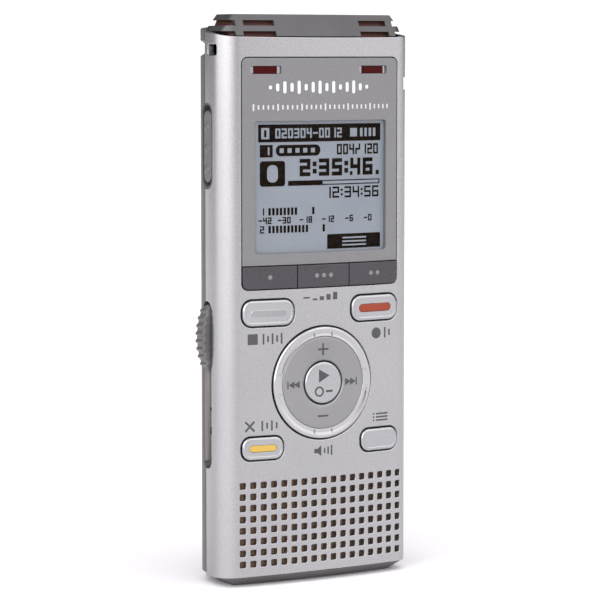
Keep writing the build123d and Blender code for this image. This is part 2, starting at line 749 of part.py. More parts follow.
def case_screws():
    """Four cross-head screws that hold the rear case."""
    screws = []
    for x, z in SCREW_SPOTS:
        screw = rod_y(x, z, SCREW_HEAD, BACK - 1.15, BACK - 0.25)
        screw += rod_y(x, z, SCREW_SHANK, -1.8, BACK - 1.1)
        screw -= box(x - 0.9, x + 0.9, BACK - 0.75, BACK, z - 0.18, z + 0.18)
        screw -= box(x - 0.18, x + 0.18, BACK - 0.75, BACK, z - 0.9, z + 0.9)
        screws.append(screw)
    return Compound(children=screws)


NODES = {
    "front_cover": front_cover,
    "rear_case": rear_case,
    "mic_grille_cap": mic_grille_cap,
    "mic_screen_left": lambda: mic_screen(-1),
    "mic_screen_right": lambda: mic_screen(1),
    "mic_capsule_left": lambda: mic_capsule(-1),
    "mic_capsule_right": lambda: mic_capsule(1),
    "mic_boot_left": lambda: mic_boot(-1),
    "mic_boot_right": lambda: mic_boot(1),
    "mic_jack": lambda: jack(-1),
    "ear_jack": lambda: jack(1),
    "display_panel": display_panel,
    "display_window": display_window,
    "led_lens_left": lambda: led_lens(0),
    "led_lens_right": lambda: led_lens(1),
    "indicator_led_left": lambda: indicator_led(0),
    "indicator_led_right": lambda: indicator_led(1),
    "lcd_panel": lcd_panel,
    "lcd_frame": lcd_frame,
    "f1_key": lambda: function_key(-PANEL_HALF, -MENU_HALF - KEY_GAP),
    "menu_key": lambda: function_key(-MENU_HALF, MENU_HALF),
    "f2_key": lambda: function_key(MENU_HALF + KEY_GAP, PANEL_HALF),
    "stop_button": lambda: push_button(STOP_CENTRE, LARGE_BUTTON),
    "rec_button": lambda: push_button(REC_CENTRE, LARGE_BUTTON, REC_INSERT),
    "rec_insert": lambda: button_insert(REC_CENTRE, REC_INSERT),
    "erase_button": lambda: push_button(ERASE_CENTRE, SMALL_BUTTON, ERASE_INSERT),
    "erase_insert": lambda: button_insert(ERASE_CENTRE, ERASE_INSERT),
    "list_button": lambda: push_button(LIST_CENTRE, SMALL_BUTTON),
    "nav_ring": nav_ring,
    "nav_disc": nav_disc,
    "nav_collar": nav_collar,
    "ok_button": ok_button,
    "keypad_membrane": keypad_membrane,
    "dome_switches": dome_switches,
    "main_board": main_board,
    "processor_chip": processor_chip,
    "memory_chip": memory_chip,
    "speaker_frame": speaker_frame,
    "speaker_cone": speaker_cone,
    "speaker_cloth": speaker_cloth,
    "chassis": chassis,
    "battery_cell_right": lambda: battery_cell(0),
    "battery_cell_left": lambda: battery_cell(1),
    "battery_springs": battery_springs,
    "battery_plates": battery_plates,
    "battery_cover": battery_cover,
    "usb_lever": usb_lever,
    "usb_carriage": usb_carriage,
    "usb_plug_shell": usb_plug_shell,
    "usb_tongue": usb_tongue,
    "usb_contacts": usb_contacts,
    "switch_bezel": switch_bezel,
    "power_hold_knob": power_hold_knob,
    "slide_switch": slide_switch,
    "card_socket": card_socket,
    "card_cover": card_cover,
    "card_cover_pin": card_cover_pin,
    "case_screws": case_screws,
}

os.makedirs("parts", exist_ok=True)
for name, build in NODES.items():
    export_step(build(), f"parts/{name}.step")
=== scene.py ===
import math

import bpy
import numpy as np
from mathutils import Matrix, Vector
from mathutils.geometry import delaunay_2d_cdt


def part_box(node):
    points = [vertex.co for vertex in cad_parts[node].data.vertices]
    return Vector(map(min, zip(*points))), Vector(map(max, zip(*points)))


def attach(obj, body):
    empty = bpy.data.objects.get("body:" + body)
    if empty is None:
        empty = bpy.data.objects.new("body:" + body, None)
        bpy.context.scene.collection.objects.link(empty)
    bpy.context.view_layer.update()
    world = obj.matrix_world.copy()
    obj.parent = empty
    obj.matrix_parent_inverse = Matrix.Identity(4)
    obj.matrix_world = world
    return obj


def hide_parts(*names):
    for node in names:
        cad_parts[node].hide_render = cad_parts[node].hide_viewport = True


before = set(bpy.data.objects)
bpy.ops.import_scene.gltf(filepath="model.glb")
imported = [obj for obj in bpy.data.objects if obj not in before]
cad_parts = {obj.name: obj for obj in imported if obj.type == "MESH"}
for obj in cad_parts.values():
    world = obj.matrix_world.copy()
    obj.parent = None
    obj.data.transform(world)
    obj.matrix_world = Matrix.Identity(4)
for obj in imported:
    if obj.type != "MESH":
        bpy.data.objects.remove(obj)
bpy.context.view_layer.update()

# A handheld digital voice recorder, in the frame's axes: +X is the user's right, the
# crowned front faces -Y and +Z is up. Sizes here are millimetres until a mesh is made.
MM = 0.001

# Points nearer than this are one point
SAME_PLACE = 0.001

# Plan of the body
FRONT = -8.25
BACK = 8.25
SIDE = 20.0
CROWN_RADIUS = 142.9
FRONT_CORNER = 3.5
REAR_CORNER = 7.6
WALL = 1.3
HEIGHT = 106

# Front cover
SEAM_Y = 0.95
COVER_BOTTOM = 2.0
COVER_TOP = 101.75
TOP_RISE = 0.128
BOTTOM_DROP = 0.078

# Display panel and function keys
PANEL_HALF = 16.6
PANEL_TOP = 98.02
PANEL_BOTTOM = 59.85
PANEL_THICK = 0.65
PANEL_CORNER = 1.1
PANEL_GAP = 0.17
KEYS_BOTTOM = 55.55
KEY_GAP = 0.15
KEY_SPLIT = 5.55
WINDOW_HALF = 14.1
WINDOW_BOTTOM = 62.0
WINDOW_TOP = 86.4
LED_X = (-11.87, 11.1)
LED_Z = 95.8
LED_SIZE = (6.3, 1.45)
LENS_SIZE = (4.65, 1.39)

# Buttons: centre, then width, height and corner radius
RISE = 0.35
BUTTON_GAP = 0.22
STOP = ((-11.45, 51.1), (10.4, 4.75, 1.9))
REC = ((11.45, 51.1), (10.4, 4.75, 1.9))
ERASE = ((-12.6, 25.95), (8.3, 4.15, 1.7))
LIST = ((12.6, 25.95), (8.3, 4.15, 1.7))
REC_INSERT = (7.3, 1.5)
ERASE_INSERT = (5.5, 1.25)

# Navigation pad
NAV_Z = 37.55
NAV_RADIUS = 10.5
DISC_RADIUS = 8.65
OK_RADIUS = 3.95
OK_GAP = 0.22
# Room under the disc for the rubber collar when the pad rocks
COLLAR_ROOM = 0.45

# Speaker grille
HOLE_COLUMNS = 17
HOLE_ROWS = 8
HOLE_PITCH = 2.105
HOLE_SIZE = 1.18
HOLE_CORNER = 0.2
HOLES_X = 0.25
SPEAKER_Z = 11.72

# Left side: y from, y to, z from, z to
RECESS = (-1.95, 2.05, 73.95, 89.75)
KNOB = (-1.2, 1.6, 75.1, 88.3)
KNOB_BUMPS = (77.45, 81.3, 85.2)
BUMP_RADIUS = 0.78
BUMP_HEIGHT = 0.32
LEVER_SLOT = (-1.35, 1.85, 21.8, 53.0)
LEVER = (-1.2, 1.7, 40.15, 52.4)
LEVER_RIBS = 8
LEVER_RIB = 0.35
FINE_STEP = 0.13
STRAP_HOLE = (-3.75, -0.35, 98.5, 100.5)
STRAP_CORNER = 0.45
DOOR = (-5.2, -0.2, 79.05, 94.25)
SCOOP = (-6.62, 92.0)

# The plan's arcs and straights, as lengths measured from the middle of the front
CROWN_AXIS = FRONT + CROWN_RADIUS
CORNER_X = SIDE - FRONT_CORNER
SWEEP = math.asin(CORNER_X / (CROWN_RADIUS - FRONT_CORNER))
CORNER_Y = CROWN_AXIS - (CROWN_RADIUS - FRONT_CORNER) * math.cos(SWEEP)
REAR_Y = BACK - REAR_CORNER
CROWN_END = CROWN_RADIUS * SWEEP
CORNER_END = CROWN_END + FRONT_CORNER * (math.pi / 2 - SWEEP)
SIDE_END = CORNER_END + REAR_Y - CORNER_Y
SEAM_U = SIDE_END + REAR_CORNER * math.asin((SEAM_Y - REAR_Y) / REAR_CORNER)
SIDE_TURN = math.radians(102)


def outline(u):
    """Points, tangents and outward normals of the body's plan at lengths u."""
    a = np.abs(u)
    side = np.where(u < 0, -1.0, 1.0)
    on_crown = a <= CROWN_END
    on_corner = (a > CROWN_END) & (a <= CORNER_END)
    on_side = (a > CORNER_END) & (a <= SIDE_END)
    places = [on_crown, on_corner, on_side]
    angle = np.select(places, [a / CROWN_RADIUS, SWEEP + (a - CROWN_END) / FRONT_CORNER,
                               np.full_like(a, math.pi / 2)],
                      math.pi / 2 + (a - SIDE_END) / REAR_CORNER)
    sine, cosine = np.sin(angle), np.cos(angle)
    x = np.select(places, [CROWN_RADIUS * sine, CORNER_X + FRONT_CORNER * sine, np.full_like(a, SIDE)],
                  SIDE - REAR_CORNER + REAR_CORNER * sine)
    y = np.select(places, [CROWN_AXIS - CROWN_RADIUS * cosine, CORNER_Y - FRONT_CORNER * cosine,
                           CORNER_Y + a - CORNER_END], REAR_Y - REAR_CORNER * cosine)
    zero = np.zeros_like(a)
    point = np.stack([side * x, y, zero], 1)
    tangent = np.stack([cosine, side * sine, zero], 1)
    normal = np.stack([side * sine, -cosine, zero], 1)
    return point, tangent, normal


def gentle(u, tangent, normal):
    """Tangents and normals that turn evenly from the crown to the seam, for a soft, full side."""
    a, side = np.abs(u), np.where(u < 0, -1.0, 1.0)
    share = np.clip((a - CROWN_END) / (SEAM_U - CROWN_END), 0, 1)
    angle = SWEEP + (SIDE_TURN - SWEEP) * (1 - (1 - share) ** 1.3)
    sine, cosine, zero = np.sin(angle), np.cos(angle), np.zeros_like(a)
    past = (a > CROWN_END)[:, None]
    tangent = np.where(past, np.stack([cosine, side * sine, zero], 1), tangent)
    return tangent, np.where(past, np.stack([side * sine, -cosine, zero], 1), normal)


def side_u(y):
    """Length along the plan to a place on the left side."""
    return -(CORNER_END + y - CORNER_Y)


def ends(u, line):
    """Height of a slanted end of the cover at length u."""
    point = outline(np.array([u]))[0][0]
    return line(point[1])


def cap_line(y):
    """Height of the seam below the microphone cap."""
    return COVER_TOP + TOP_RISE * (y - FRONT)


def base_line(y):
    """Height of the seam above the base."""
    return COVER_BOTTOM - BOTTOM_DROP * (y - FRONT)


def spaced(low, high, step):
    """Even values from low to high, no further apart than step."""
    return list(np.linspace(low, high, max(2, math.ceil((high - low) / step) + 1)))


HALF_COLUMNS = spaced(0, CROWN_END, 1.3) + spaced(CROWN_END, CORNER_END, 0.4)[1:]
HALF_COLUMNS += spaced(CORNER_END, SIDE_END, 1.2)[1:] + [SEAM_U]
COLUMNS = [-u for u in HALF_COLUMNS[:0:-1]] + HALF_COLUMNS
ROWS = spaced(0, HEIGHT, 2.5)


def divided(loop):
    """The loop with points added wherever it crosses a column or a row of the lattice."""
    out = []
    for (u0, z0), (u1, z1) in zip(loop, loop[1:] + loop[:1]):
        cuts = {0.0}
        for start, stop, lines in ((u0, u1, COLUMNS), (z0, z1, ROWS)):
            if abs(stop - start) > 0.6:
                cuts |= {(line - start) / (stop - start) for line in lines}
        length = math.hypot(u1 - u0, z1 - z0)
        kept = []
        for cut in sorted(c for c in cuts if 0 <= c < 1):
            if not kept or (cut - kept[-1]) * length > 0.15 and (1 - cut) * length > 0.15:
                kept.append(cut)
        out += [(u0 + (u1 - u0) * c, z0 + (z1 - z0) * c) for c in kept]
    return out


def rounded(centre, size, radius, steps=5):
    """Rectangle with rounded corners, anticlockwise; radius may be one per corner."""
    radii = radius if isinstance(radius, tuple) else (radius,) * 4
    loop = []
    for turn, (right, up) in enumerate(((1, -1), (1, 1), (-1, 1), (-1, -1))):
        r = radii[turn]
        for step in range(steps + 1):
            angle = math.radians(90 * (turn - 1 + step / steps))
            u = centre[0] + right * (size[0] / 2 - r) + r * math.cos(angle)
            z = centre[1] + up * (size[1] / 2 - r) + r * math.sin(angle)
            if not loop or math.dist(loop[-1], (u, z)) > SAME_PLACE:
                loop.append((u, z))
    if math.dist(loop[0], loop[-1]) < SAME_PLACE:
        loop.pop()
    return divided(loop)


def circle(centre, radius, steps=96):
    """Circle, anticlockwise."""
    turns = [2 * math.pi * step / steps for step in range(steps)]
    return [(centre[0] + radius * math.cos(t), centre[1] + radius * math.sin(t)) for t in turns]


def window_loop(grown, radius, steps=5):
    """Outline of the display's window, larger by a given amount."""
    size = (2 * crown_u(WINDOW_HALF) + grown, WINDOW_TOP - WINDOW_BOTTOM + grown)
    return rounded((0, (WINDOW_TOP + WINDOW_BOTTOM) / 2), size, radius, steps)


def slot_loop(span):
    """Round-ended slot on the left side."""
    y0, y1, z0, z1 = span
    centre = (side_u((y0 + y1) / 2), (z0 + z1) / 2)
    return rounded(centre, (y1 - y0, z1 - z0), (y1 - y0) / 2, 8)


def mitres(loop):
    """Unit directions away from the material at each point, and how far to step for a parallel edge."""
    p = np.array(loop)
    ahead = np.roll(p, -1, 0) - p
    ahead /= np.linalg.norm(ahead, axis=1)[:, None]
    behind = np.roll(ahead, 1, 0)
    away = np.stack([ahead[:, 1] + behind[:, 1], -ahead[:, 0] - behind[:, 0]], 1)
    away /= np.linalg.norm(away, axis=1)[:, None]
    stretch = 1 / np.maximum(0.5, away[:, 0] * ahead[:, 1] - away[:, 1] * ahead[:, 0])
    return away, stretch


def inside(points, a, b):
    """Which points lie inside the loops whose edges run from a to b."""
    found = np.zeros(len(points), bool)
    for start in range(0, len(points), 400):
        u, z = points[start:start + 400, 0][:, None], points[start:start + 400, 1][:, None]
        crossing = (a[:, 1] > z) != (b[:, 1] > z)
        rise = np.where(b[:, 1] == a[:, 1], 1e-12, b[:, 1] - a[:, 1])
        at = a[:, 0] + (z - a[:, 1]) / rise * (b[:, 0] - a[:, 0])
        found[start:start + 400] = (crossing & (u < at)).sum(1) % 2 == 1
    return found


def clearance(points, a, b):
    """Distance of each point from the nearest edge."""
    out = np.zeros(len(points))
    along = b - a
    long = np.maximum((along ** 2).sum(1), 1e-12)
    for start in range(0, len(points), 400):
        q = points[start:start + 400][:, None, :] - a
        t = np.clip((q * along).sum(2) / long, 0, 1)
        out[start:start + 400] = np.sqrt(((q - t[..., None] * along) ** 2).sum(2).min(1))
    return out


def quarter_round(radius, top, steps):
    """Profile of a rounded edge, as (inset, height), up to a face at height top."""
    curve = [math.pi / 2 * step / steps for step in range(steps + 1)]
    return [(radius * (1 - math.cos(t)), top - radius * (1 - math.sin(t))) for t in curve]


class Skin:
    """A mesh drawn flat as (u, z, height) and then wrapped round the body's plan."""

    def __init__(self):
        self.points = []
        self.normals = []
        self.faces = []

    def add(self, loop, heights, normals):
        """Adds a row of points and gives their numbers."""
        start = len(self.points)
        heights = np.broadcast_to(heights, (len(loop),))
        self.points += [(u, z, h) for (u, z), h in zip(loop, heights)]
        self.normals += [tuple(n) for n in normals]
        return list(range(start, start + len(loop)))

    def bridge(self, low, high):
        """Quads between two closed rows of the same length."""
        for i in range(len(low)):
            j = (i + 1) % len(low)
            self.faces.append((low[i], low[j], high[j], high[i]))

    def sweep(self, loop, profile, lift=None):
        """Runs a profile of (inset, height) round a loop; gives its first and last rows and last loop."""
        away, stretch = mitres(loop)
        steps = np.diff(np.array(profile), axis=0)
        steps /= np.linalg.norm(steps, axis=1)[:, None]
        facing = np.vstack([steps[:1], steps[:-1] + steps[1:], steps[-1:]])
        facing[-1] = (1, 0)
        facing /= np.linalg.norm(facing, axis=1)[:, None]
        rows = []
        for (inset, height), (across, rise) in zip(profile, facing):
            moved = np.array(loop) - away * (stretch * inset)[:, None]
            heights = height + (lift(moved[:, 0], moved[:, 1]) if lift and height > -0.9 else 0)
            normals = np.column_stack([away * rise, np.full(len(loop), across)])
            rows.append((self.add([tuple(p) for p in moved], heights, normals), [tuple(p) for p in moved]))
            if len(rows) > 1:
                self.bridge(rows[-2][0], rows[-1][0])
        return rows[0][0], rows[-1][0], rows[-1][1]

    def fill(self, edges, height, up=1, columns=COLUMNS, rows=ROWS, margin=0.35, lift=None):
        """Fills between closed rows with small triangles, so that the face follows the plan."""
        numbers, spots, joins = [], [], []
        for row, loop in edges:
            start = len(spots)
            spots += loop
            numbers += row
            joins += [(start + i, start + (i + 1) % len(loop)) for i in range(len(loop))]
        a = np.array([spots[i] for i, _ in joins])
        b = np.array([spots[j] for _, j in joins])
        low, high = a.min(0), a.max(0)
        grid = np.array([(u, z) for u in columns for z in rows
                         if low[0] < u < high[0] and low[1] < z < high[1]]).reshape(-1, 2)
        if len(grid):
            grid = grid[inside(grid, a, b) & (clearance(grid, a, b) > margin)]
        heights = height + (lift(grid[:, 0], grid[:, 1]) if lift and len(grid) else 0)
        numbers += self.add([tuple(p) for p in grid], heights, [(0, 0, up)] * len(grid))
        spots = [Vector(p) for p in spots] + [Vector(p) for p in grid]
        _, _, made, sources, _, _ = delaunay_2d_cdt(spots, joins, [], 0, 1e-7)
        middles = np.array([[sum(spots[sources[k][0]][axis] for k in tri) / 3 for axis in (0, 1)]
                            for tri in made])
        keep = inside(middles, a, b)
        faces = [tuple(numbers[sources[k][0]] for k in tri) for tri, good in zip(made, keep) if good]
        self.faces += faces if up > 0 else [face[::-1] for face in faces]

    def plate(self, loops, base, top, rounding, steps=3, lift=None, **lattice):
        """Closed slab with rounded front edges; the first loop is its outside and the rest are holes."""
        self.shaped(loops, [(0, base)] + quarter_round(rounding, top, steps), lift, **lattice)

    def shaped(self, loops, profile, lift=None, **lattice):
        """Closed slab whose edges all follow one profile."""
        rims = [self.sweep(loop, profile, lift) for loop in loops]
        self.fill([(last, loop) for _, last, loop in rims], profile[-1][1], 1, lift=lift, **lattice)
        self.fill([(first, loop) for (first, _, _), loop in zip(rims, loops)], profile[0][1], -1, **lattice)

    def lathe(self, centre, profile, closed, steps=96):
        """Turns a profile of (radius, height) about an axis; open ones end in a small cap."""
        p = np.array(profile)
        steps_along = np.diff(np.vstack([p, p[:1]]) if closed else p, axis=0)
        steps_along /= np.linalg.norm(steps_along, axis=1)[:, None]
        if closed:
            facing = steps_along + np.roll(steps_along, 1, 0)
        else:
            facing = np.vstack([steps_along[:1], steps_along[:-1] + steps_along[1:], [(-1, 0)]])
        facing /= np.linalg.norm(facing, axis=1)[:, None]
        rows = []
        for (radius, height), (across, rise) in zip(profile, facing):
            loop = circle(centre, radius, steps)
            ray = np.array(circle((0, 0), 1, steps))
            normals = np.column_stack([ray * rise, np.full(steps, -across)])
            rows.append(self.add(loop, height, normals))
        for low, high in zip(rows, rows[1:]):
            self.bridge(low, high)
        if closed:
            self.bridge(rows[-1], rows[0])
        else:
            self.faces.append(tuple(rows[-1]))
            self.faces.append(tuple(rows[0][::-1]))

    def bar(self, u0, u1, z0, z1, base, top):
        """Thin block cut into columns so that it follows the front's curve."""
        cuts = spaced(u0, u1, 1.5)
        loop = [(u, z0) for u in cuts] + [(u, z1) for u in cuts[::-1]]
        self.tile(loop, base, top)

    def tile(self, loop, base, top):
        """Thin block with any convex outline."""
        away, _ = mitres(loop)
        foot = self.add(loop, base, np.column_stack([away, np.zeros(len(loop))]))
        rim = self.add(loop, top, np.column_stack([away * 0.2, np.ones(len(loop))]))
        self.bridge(foot, rim)
        half = len(loop) // 2
        if len(loop) > 4 and len(loop) % 2 == 0:
            for i in range(half - 1):
                self.faces.append((rim[i], rim[i + 1], rim[-2 - i], rim[-1 - i]))
                self.faces.append((foot[-1 - i], foot[-2 - i], foot[i + 1], foot[i]))
        else:
            self.faces.append(tuple(rim))
            self.faces.append(tuple(foot[::-1]))

    def build(self, name, material, body, replaces=(), smooth_only=False, soft_side=False):
        """Wraps the drawing round the plan and makes the Blender piece."""
        drawn = np.array(self.points, float)
        facing = np.array(self.normals, float)
        point, tangent, normal = outline(drawn[:, 0])
        place = point + normal * drawn[:, 2:3]
        place[:, 2] = drawn[:, 1]
        if soft_side:
            tangent, normal = gentle(drawn[:, 0], tangent, normal)
        turned = tangent * facing[:, 0:1] + normal * facing[:, 2:3]
        turned[:, 2] = facing[:, 1]
        turned /= np.linalg.norm(turned, axis=1)[:, None]
        mesh = bpy.data.meshes.new(name)
        mesh.from_pydata((place * MM).tolist(), [], self.faces)
        mesh.polygons.foreach_set("use_smooth", [True] * len(mesh.polygons))
        if not smooth_only:
            mesh.normals_split_custom_set_from_vertices(turned.tolist())
        mesh.materials.append(material)
        piece = bpy.data.objects.new(name, mesh)
        place_in_scene(piece)
        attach(piece, body)
        if replaces:
            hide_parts(*replaces)


def place_in_scene(thing):
    """Puts an object in the scene."""
    bpy.context.scene.collection.objects.link(thing)


def crown_u(x):
    """Length along the crown to a place x from the middle."""
    return CROWN_RADIUS * math.asin(x / CROWN_RADIUS)


def at(centre):
    """A centre given in x and z, in lengths along the plan."""
    return (crown_u(centre[0]), centre[1])


# Materials

def link(tree, source, target):
    """Joins two sockets."""
    tree.links.new(source, target)


def ranged(tree, value, start, stop, low, high):
    """Map Range node that takes start..stop to low..high."""
    node = tree.nodes.new("ShaderNodeMapRange")
    for socket, number in (("From Min", start), ("From Max", stop), ("To Min", low), ("To Max", high)):
        node.inputs[socket].default_value = number
    link(tree, value, node.inputs["Value"])
    return node


def noise(tree, place, scale, detail):
    """Noise node at a scale and detail."""
    node = tree.nodes.new("ShaderNodeTexNoise")
    node.inputs["Scale"].default_value = scale
    node.inputs["Detail"].default_value = detail
    link(tree, place, node.inputs["Vector"])
    return node


def grey(level, warmth):
    """Linear colour of a display grey from 0 to 255, a little warmer or cooler."""
    value = (level / 255) ** 2.2
    return (value * (1 + warmth), value, value * (1 - warmth))


def finish(name, colour, other, metallic=0.0, roughness=(0.35, 0.5), grain=900, patch=60,
           bump=0.15, depth=0.00002, stretch=(1, 1, 1), speckle=False, warmth=0.0, **sockets):
    """Procedural finish: two colours mixed by a cloudy pattern, uneven roughness and a fine grain.

    Each colour is linear, or a whole number for a display grey.
    """
    colour, other = (grey(c, warmth) if isinstance(c, int) else c for c in (colour, other))
    made = bpy.data.materials.new(name)
    made.use_nodes = True
    tree = made.node_tree
    nodes = tree.nodes
    shader = nodes["Principled BSDF"]
    shader.inputs["Metallic"].default_value = metallic
    for socket, value in sockets.items():
        shader.inputs[socket.replace("_", " ")].default_value = value
    place = nodes.new("ShaderNodeTexCoord")
    shape = nodes.new("ShaderNodeMapping")
    shape.inputs["Scale"].default_value = stretch
    link(tree, place.outputs["Object"], shape.inputs["Vector"])

    cloud = noise(tree, shape.outputs["Vector"], patch, 4)
    fine = noise(tree, shape.outputs["Vector"], grain, 6)
    fine.inputs["Roughness"].default_value = 0.65

    tint = nodes.new("ShaderNodeMix")
    tint.data_type = "RGBA"
    tint.inputs["A"].default_value = (*colour, 1)
    tint.inputs["B"].default_value = (*other, 1)
    spread = ranged(tree, (fine if speckle else cloud).outputs["Fac"], 0.35, 0.65, 0, 1)
    link(tree, spread.outputs["Result"], tint.inputs["Factor"])
    link(tree, tint.outputs["Result"], shader.inputs["Base Color"])

    gloss = ranged(tree, fine.outputs["Fac"], 0.3, 0.7, *roughness)
    link(tree, gloss.outputs["Result"], shader.inputs["Roughness"])

    relief = nodes.new("ShaderNodeBump")
    relief.inputs["Strength"].default_value = bump
    relief.inputs["Distance"].default_value = depth
    link(tree, fine.outputs["Fac"], relief.inputs["Height"])
    link(tree, relief.outputs["Normal"], shader.inputs["Normal"])
    return made


silver = finish("silver_paint", 163, 166, 0.97, (0.26, 0.29), grain=5200, bump=0.1, Coat_Weight=0.15,
                Coat_Roughness=0.2, warmth=-0.01)
silver_key = finish("silver_key", 160, 168, 0.95, (0.2, 0.3), grain=5200, bump=0.06, Coat_Weight=0.3,
                    Coat_Roughness=0.1, warmth=-0.02)
clear_bar = finish("clear_bar", 142, 150, 0.9, (0.16, 0.24), grain=3000, bump=0.04, Coat_Weight=1.0,
                   Coat_Roughness=0.05, warmth=-0.01)
rear_paint = finish("rear_paint", 85, 92, 0.3, (0.38, 0.5), grain=4200, bump=0.22, warmth=0.02)
cap_paint = finish("cap_paint", 73, 81, 0.55, (0.28, 0.4), grain=4600, bump=0.18)
panel_paint = finish("panel_paint", 110, 126, 0.5, (0.32, 0.46), grain=7000, bump=0.1, speckle=True,
                     warmth=-0.01)
pane = finish("window_pane", 30, 36, 0.0, (0.03, 0.08), grain=1500, bump=0.01, Alpha=0.03,
              Specular_IOR_Level=0.2)
lens_red = finish("lens_red", (0.030, 0.0003, 0.0006), (0.038, 0.0006, 0.0006), 0.0, (0.3, 0.4),
                  grain=2500, bump=0.03, Specular_IOR_Level=0.1)
lcd_face = finish("lcd_face", (0.19, 0.218, 0.245), (0.205, 0.233, 0.26), 0.1, (0.4, 0.5), grain=6000,
                  patch=90, bump=0.03)
lcd_dark = finish("lcd_dark", (0.004, 0.002, 0.001), (0.006, 0.003, 0.001), 0.0, (0.4, 0.55),
                  grain=6000, bump=0.05, Specular_IOR_Level=0.05)
ink = finish("label_ink", 58, 64, 0.0, (0.45, 0.6), grain=5000, bump=0.08)
ink_dark = finish("label_dark", 36, 42, 0.0, (0.45, 0.6), grain=5000, bump=0.08)
ink_soft = finish("label_soft", 108, 116, 0.1, (0.4, 0.55), grain=5000, bump=0.08)
ink_pale = finish("label_pale", 182, 190, 0.0, (0.4, 0.55), grain=5000, bump=0.05)
ink_light = finish("label_light", 150, 160, 0.1, (0.4, 0.55), grain=5000, bump=0.08)
ink_white = finish("label_white", 204, 210, 0.0, (0.35, 0.5), grain=5000, bump=0.05)
key_paint = finish("function_key", (0.042, 0.040, 0.046), (0.052, 0.049, 0.056), 0.35, (0.22, 0.34),
                   grain=5200, bump=0.12)
orange = finish("orange_insert", (0.22, 0.035, 0.015), (0.25, 0.042, 0.018), 0.1, (0.3, 0.4),
                grain=3500, bump=0.06, Specular_IOR_Level=0.3)
yellow = finish("yellow_insert", (0.44, 0.30, 0.055), (0.48, 0.33, 0.065), 0.0, (0.3, 0.4), grain=3500,
                bump=0.06, Specular_IOR_Level=0.3)
nav_clear = finish("nav_clear", 168, 176, 0.95, (0.1, 0.18), grain=3000, bump=0.03, Coat_Weight=1.0,
                   Coat_Roughness=0.04, warmth=-0.01)
nav_satin = finish("nav_satin", 134, 141, 0.8, (0.3, 0.4), grain=5200, bump=0.1, warmth=-0.01)
lever_plastic = finish("lever_plastic", 90, 97, 0.2, (0.35, 0.48), grain=3800, bump=0.2, warmth=0.01)
rubber = finish("rubber", 26, 34, 0.0, (0.7, 0.85), grain=2500, bump=0.3)
keypad = finish("keypad_rubber", 120, 130, 0.0, (0.65, 0.8), grain=2500, bump=0.3)
spring_steel = finish("spring_steel", 190, 205, 1.0, (0.18, 0.32), grain=1800, bump=0.08,
                      stretch=(1, 1, 6))
board = finish("circuit_board", (0.01, 0.09, 0.035), (0.02, 0.14, 0.05), 0.0, (0.3, 0.5), grain=1400,
               patch=500, bump=0.25)
chip = finish("chip_epoxy", 28, 36, 0.0, (0.5, 0.7), grain=3600, bump=0.3)
basket = finish("speaker_basket", 120, 140, 1.0, (0.3, 0.5), grain=2400, bump=0.15)
film = finish("speaker_film", 60, 74, 0.0, (0.35, 0.5), grain=1500, patch=300, bump=0.2)
cloth = finish("speaker_cloth", (0.22, 0.135, 0.08), (0.16, 0.1, 0.06), 0.0, (0.75, 0.9), grain=3800,
               bump=0.6, depth=0.00005, speckle=True)
mic_mesh = finish("mic_mesh", (0.07, 0.02, 0.014), (0.045, 0.014, 0.01), 0.3, (0.5, 0.7), grain=4000,
                  bump=0.6, depth=0.00005, speckle=True)
slide_plastic = finish("slide_plastic", 124, 134, 0.0, (0.45, 0.6), grain=3200, bump=0.2, warmth=0.05)
rail_plastic = finish("rail_plastic", 116, 124, 0.0, (0.4, 0.55), grain=3800, bump=0.15, warmth=0.05)
chassis_plastic = finish("chassis_plastic", 92, 100, 0.0, (0.5, 0.65), grain=2600, bump=0.2)
frame_plastic = finish("frame_plastic", 210, 220, 0.0, (0.45, 0.6), grain=2600, bump=0.15)
cell_wrap = finish("cell_wrap", (0.02, 0.05, 0.20), (0.03, 0.07, 0.26), 0.2, (0.2, 0.35), grain=1600,
                   patch=120, bump=0.06, Coat_Weight=0.6, Coat_Roughness=0.1)
plug_metal = finish("plug_metal", 200, 214, 1.0, (0.16, 0.3), grain=1500, bump=0.08, stretch=(1, 1, 8))
tongue = finish("plug_tongue", 235, 245, 0.0, (0.4, 0.55), grain=2600, bump=0.1)
gold = finish("contact_gold", (0.85, 0.55, 0.16), (0.92, 0.62, 0.2), 1.0, (0.15, 0.28), grain=1800,
              bump=0.06)
jack_plastic = finish("jack_plastic", 38, 46, 0.0, (0.3, 0.45), grain=2600, bump=0.12)
screw_steel = finish("screw_steel", 60, 76, 1.0, (0.25, 0.4), grain=1800, bump=0.1)
led_chip = finish("led_chip", 225, 240, 0.0, (0.25, 0.4), grain=3000, bump=0.05)


# Front cover

def cover_edge():
    """Outside of the front cover: slanted ends, and notches for the left side's slot and recess."""
    bottom = [(u, ends(u, base_line)) for u in [-SEAM_U] + COLUMNS[1:-1] + [SEAM_U]]
    top = [(u, ends(u, cap_line)) for u, _ in reversed(bottom)]
    left = []
    for y0, y1, z0, z1 in (RECESS, LEVER_SLOT):
        radius = (y1 - y0) / 2
        middle = (y0 + y1) / 2
        sweep = math.acos(-(SEAM_Y - middle) / radius)
        arc = [sweep * step / 8 for step in range(9)]
        left += [(side_u(middle - radius * math.cos(a)), z1 - radius + radius * math.sin(a))
                 for a in reversed(arc)]
        left += [(side_u(middle - radius * math.cos(a)), z0 + radius - radius * math.sin(a)) for a in arc]
    return divided(bottom + top + left)


def button_hole(button):
    centre, (wide, high, radius) = button
    grown = (wide + 2 * BUTTON_GAP, high + 2 * BUTTON_GAP)
    return rounded(at(centre), grown, radius + BUTTON_GAP, 7)


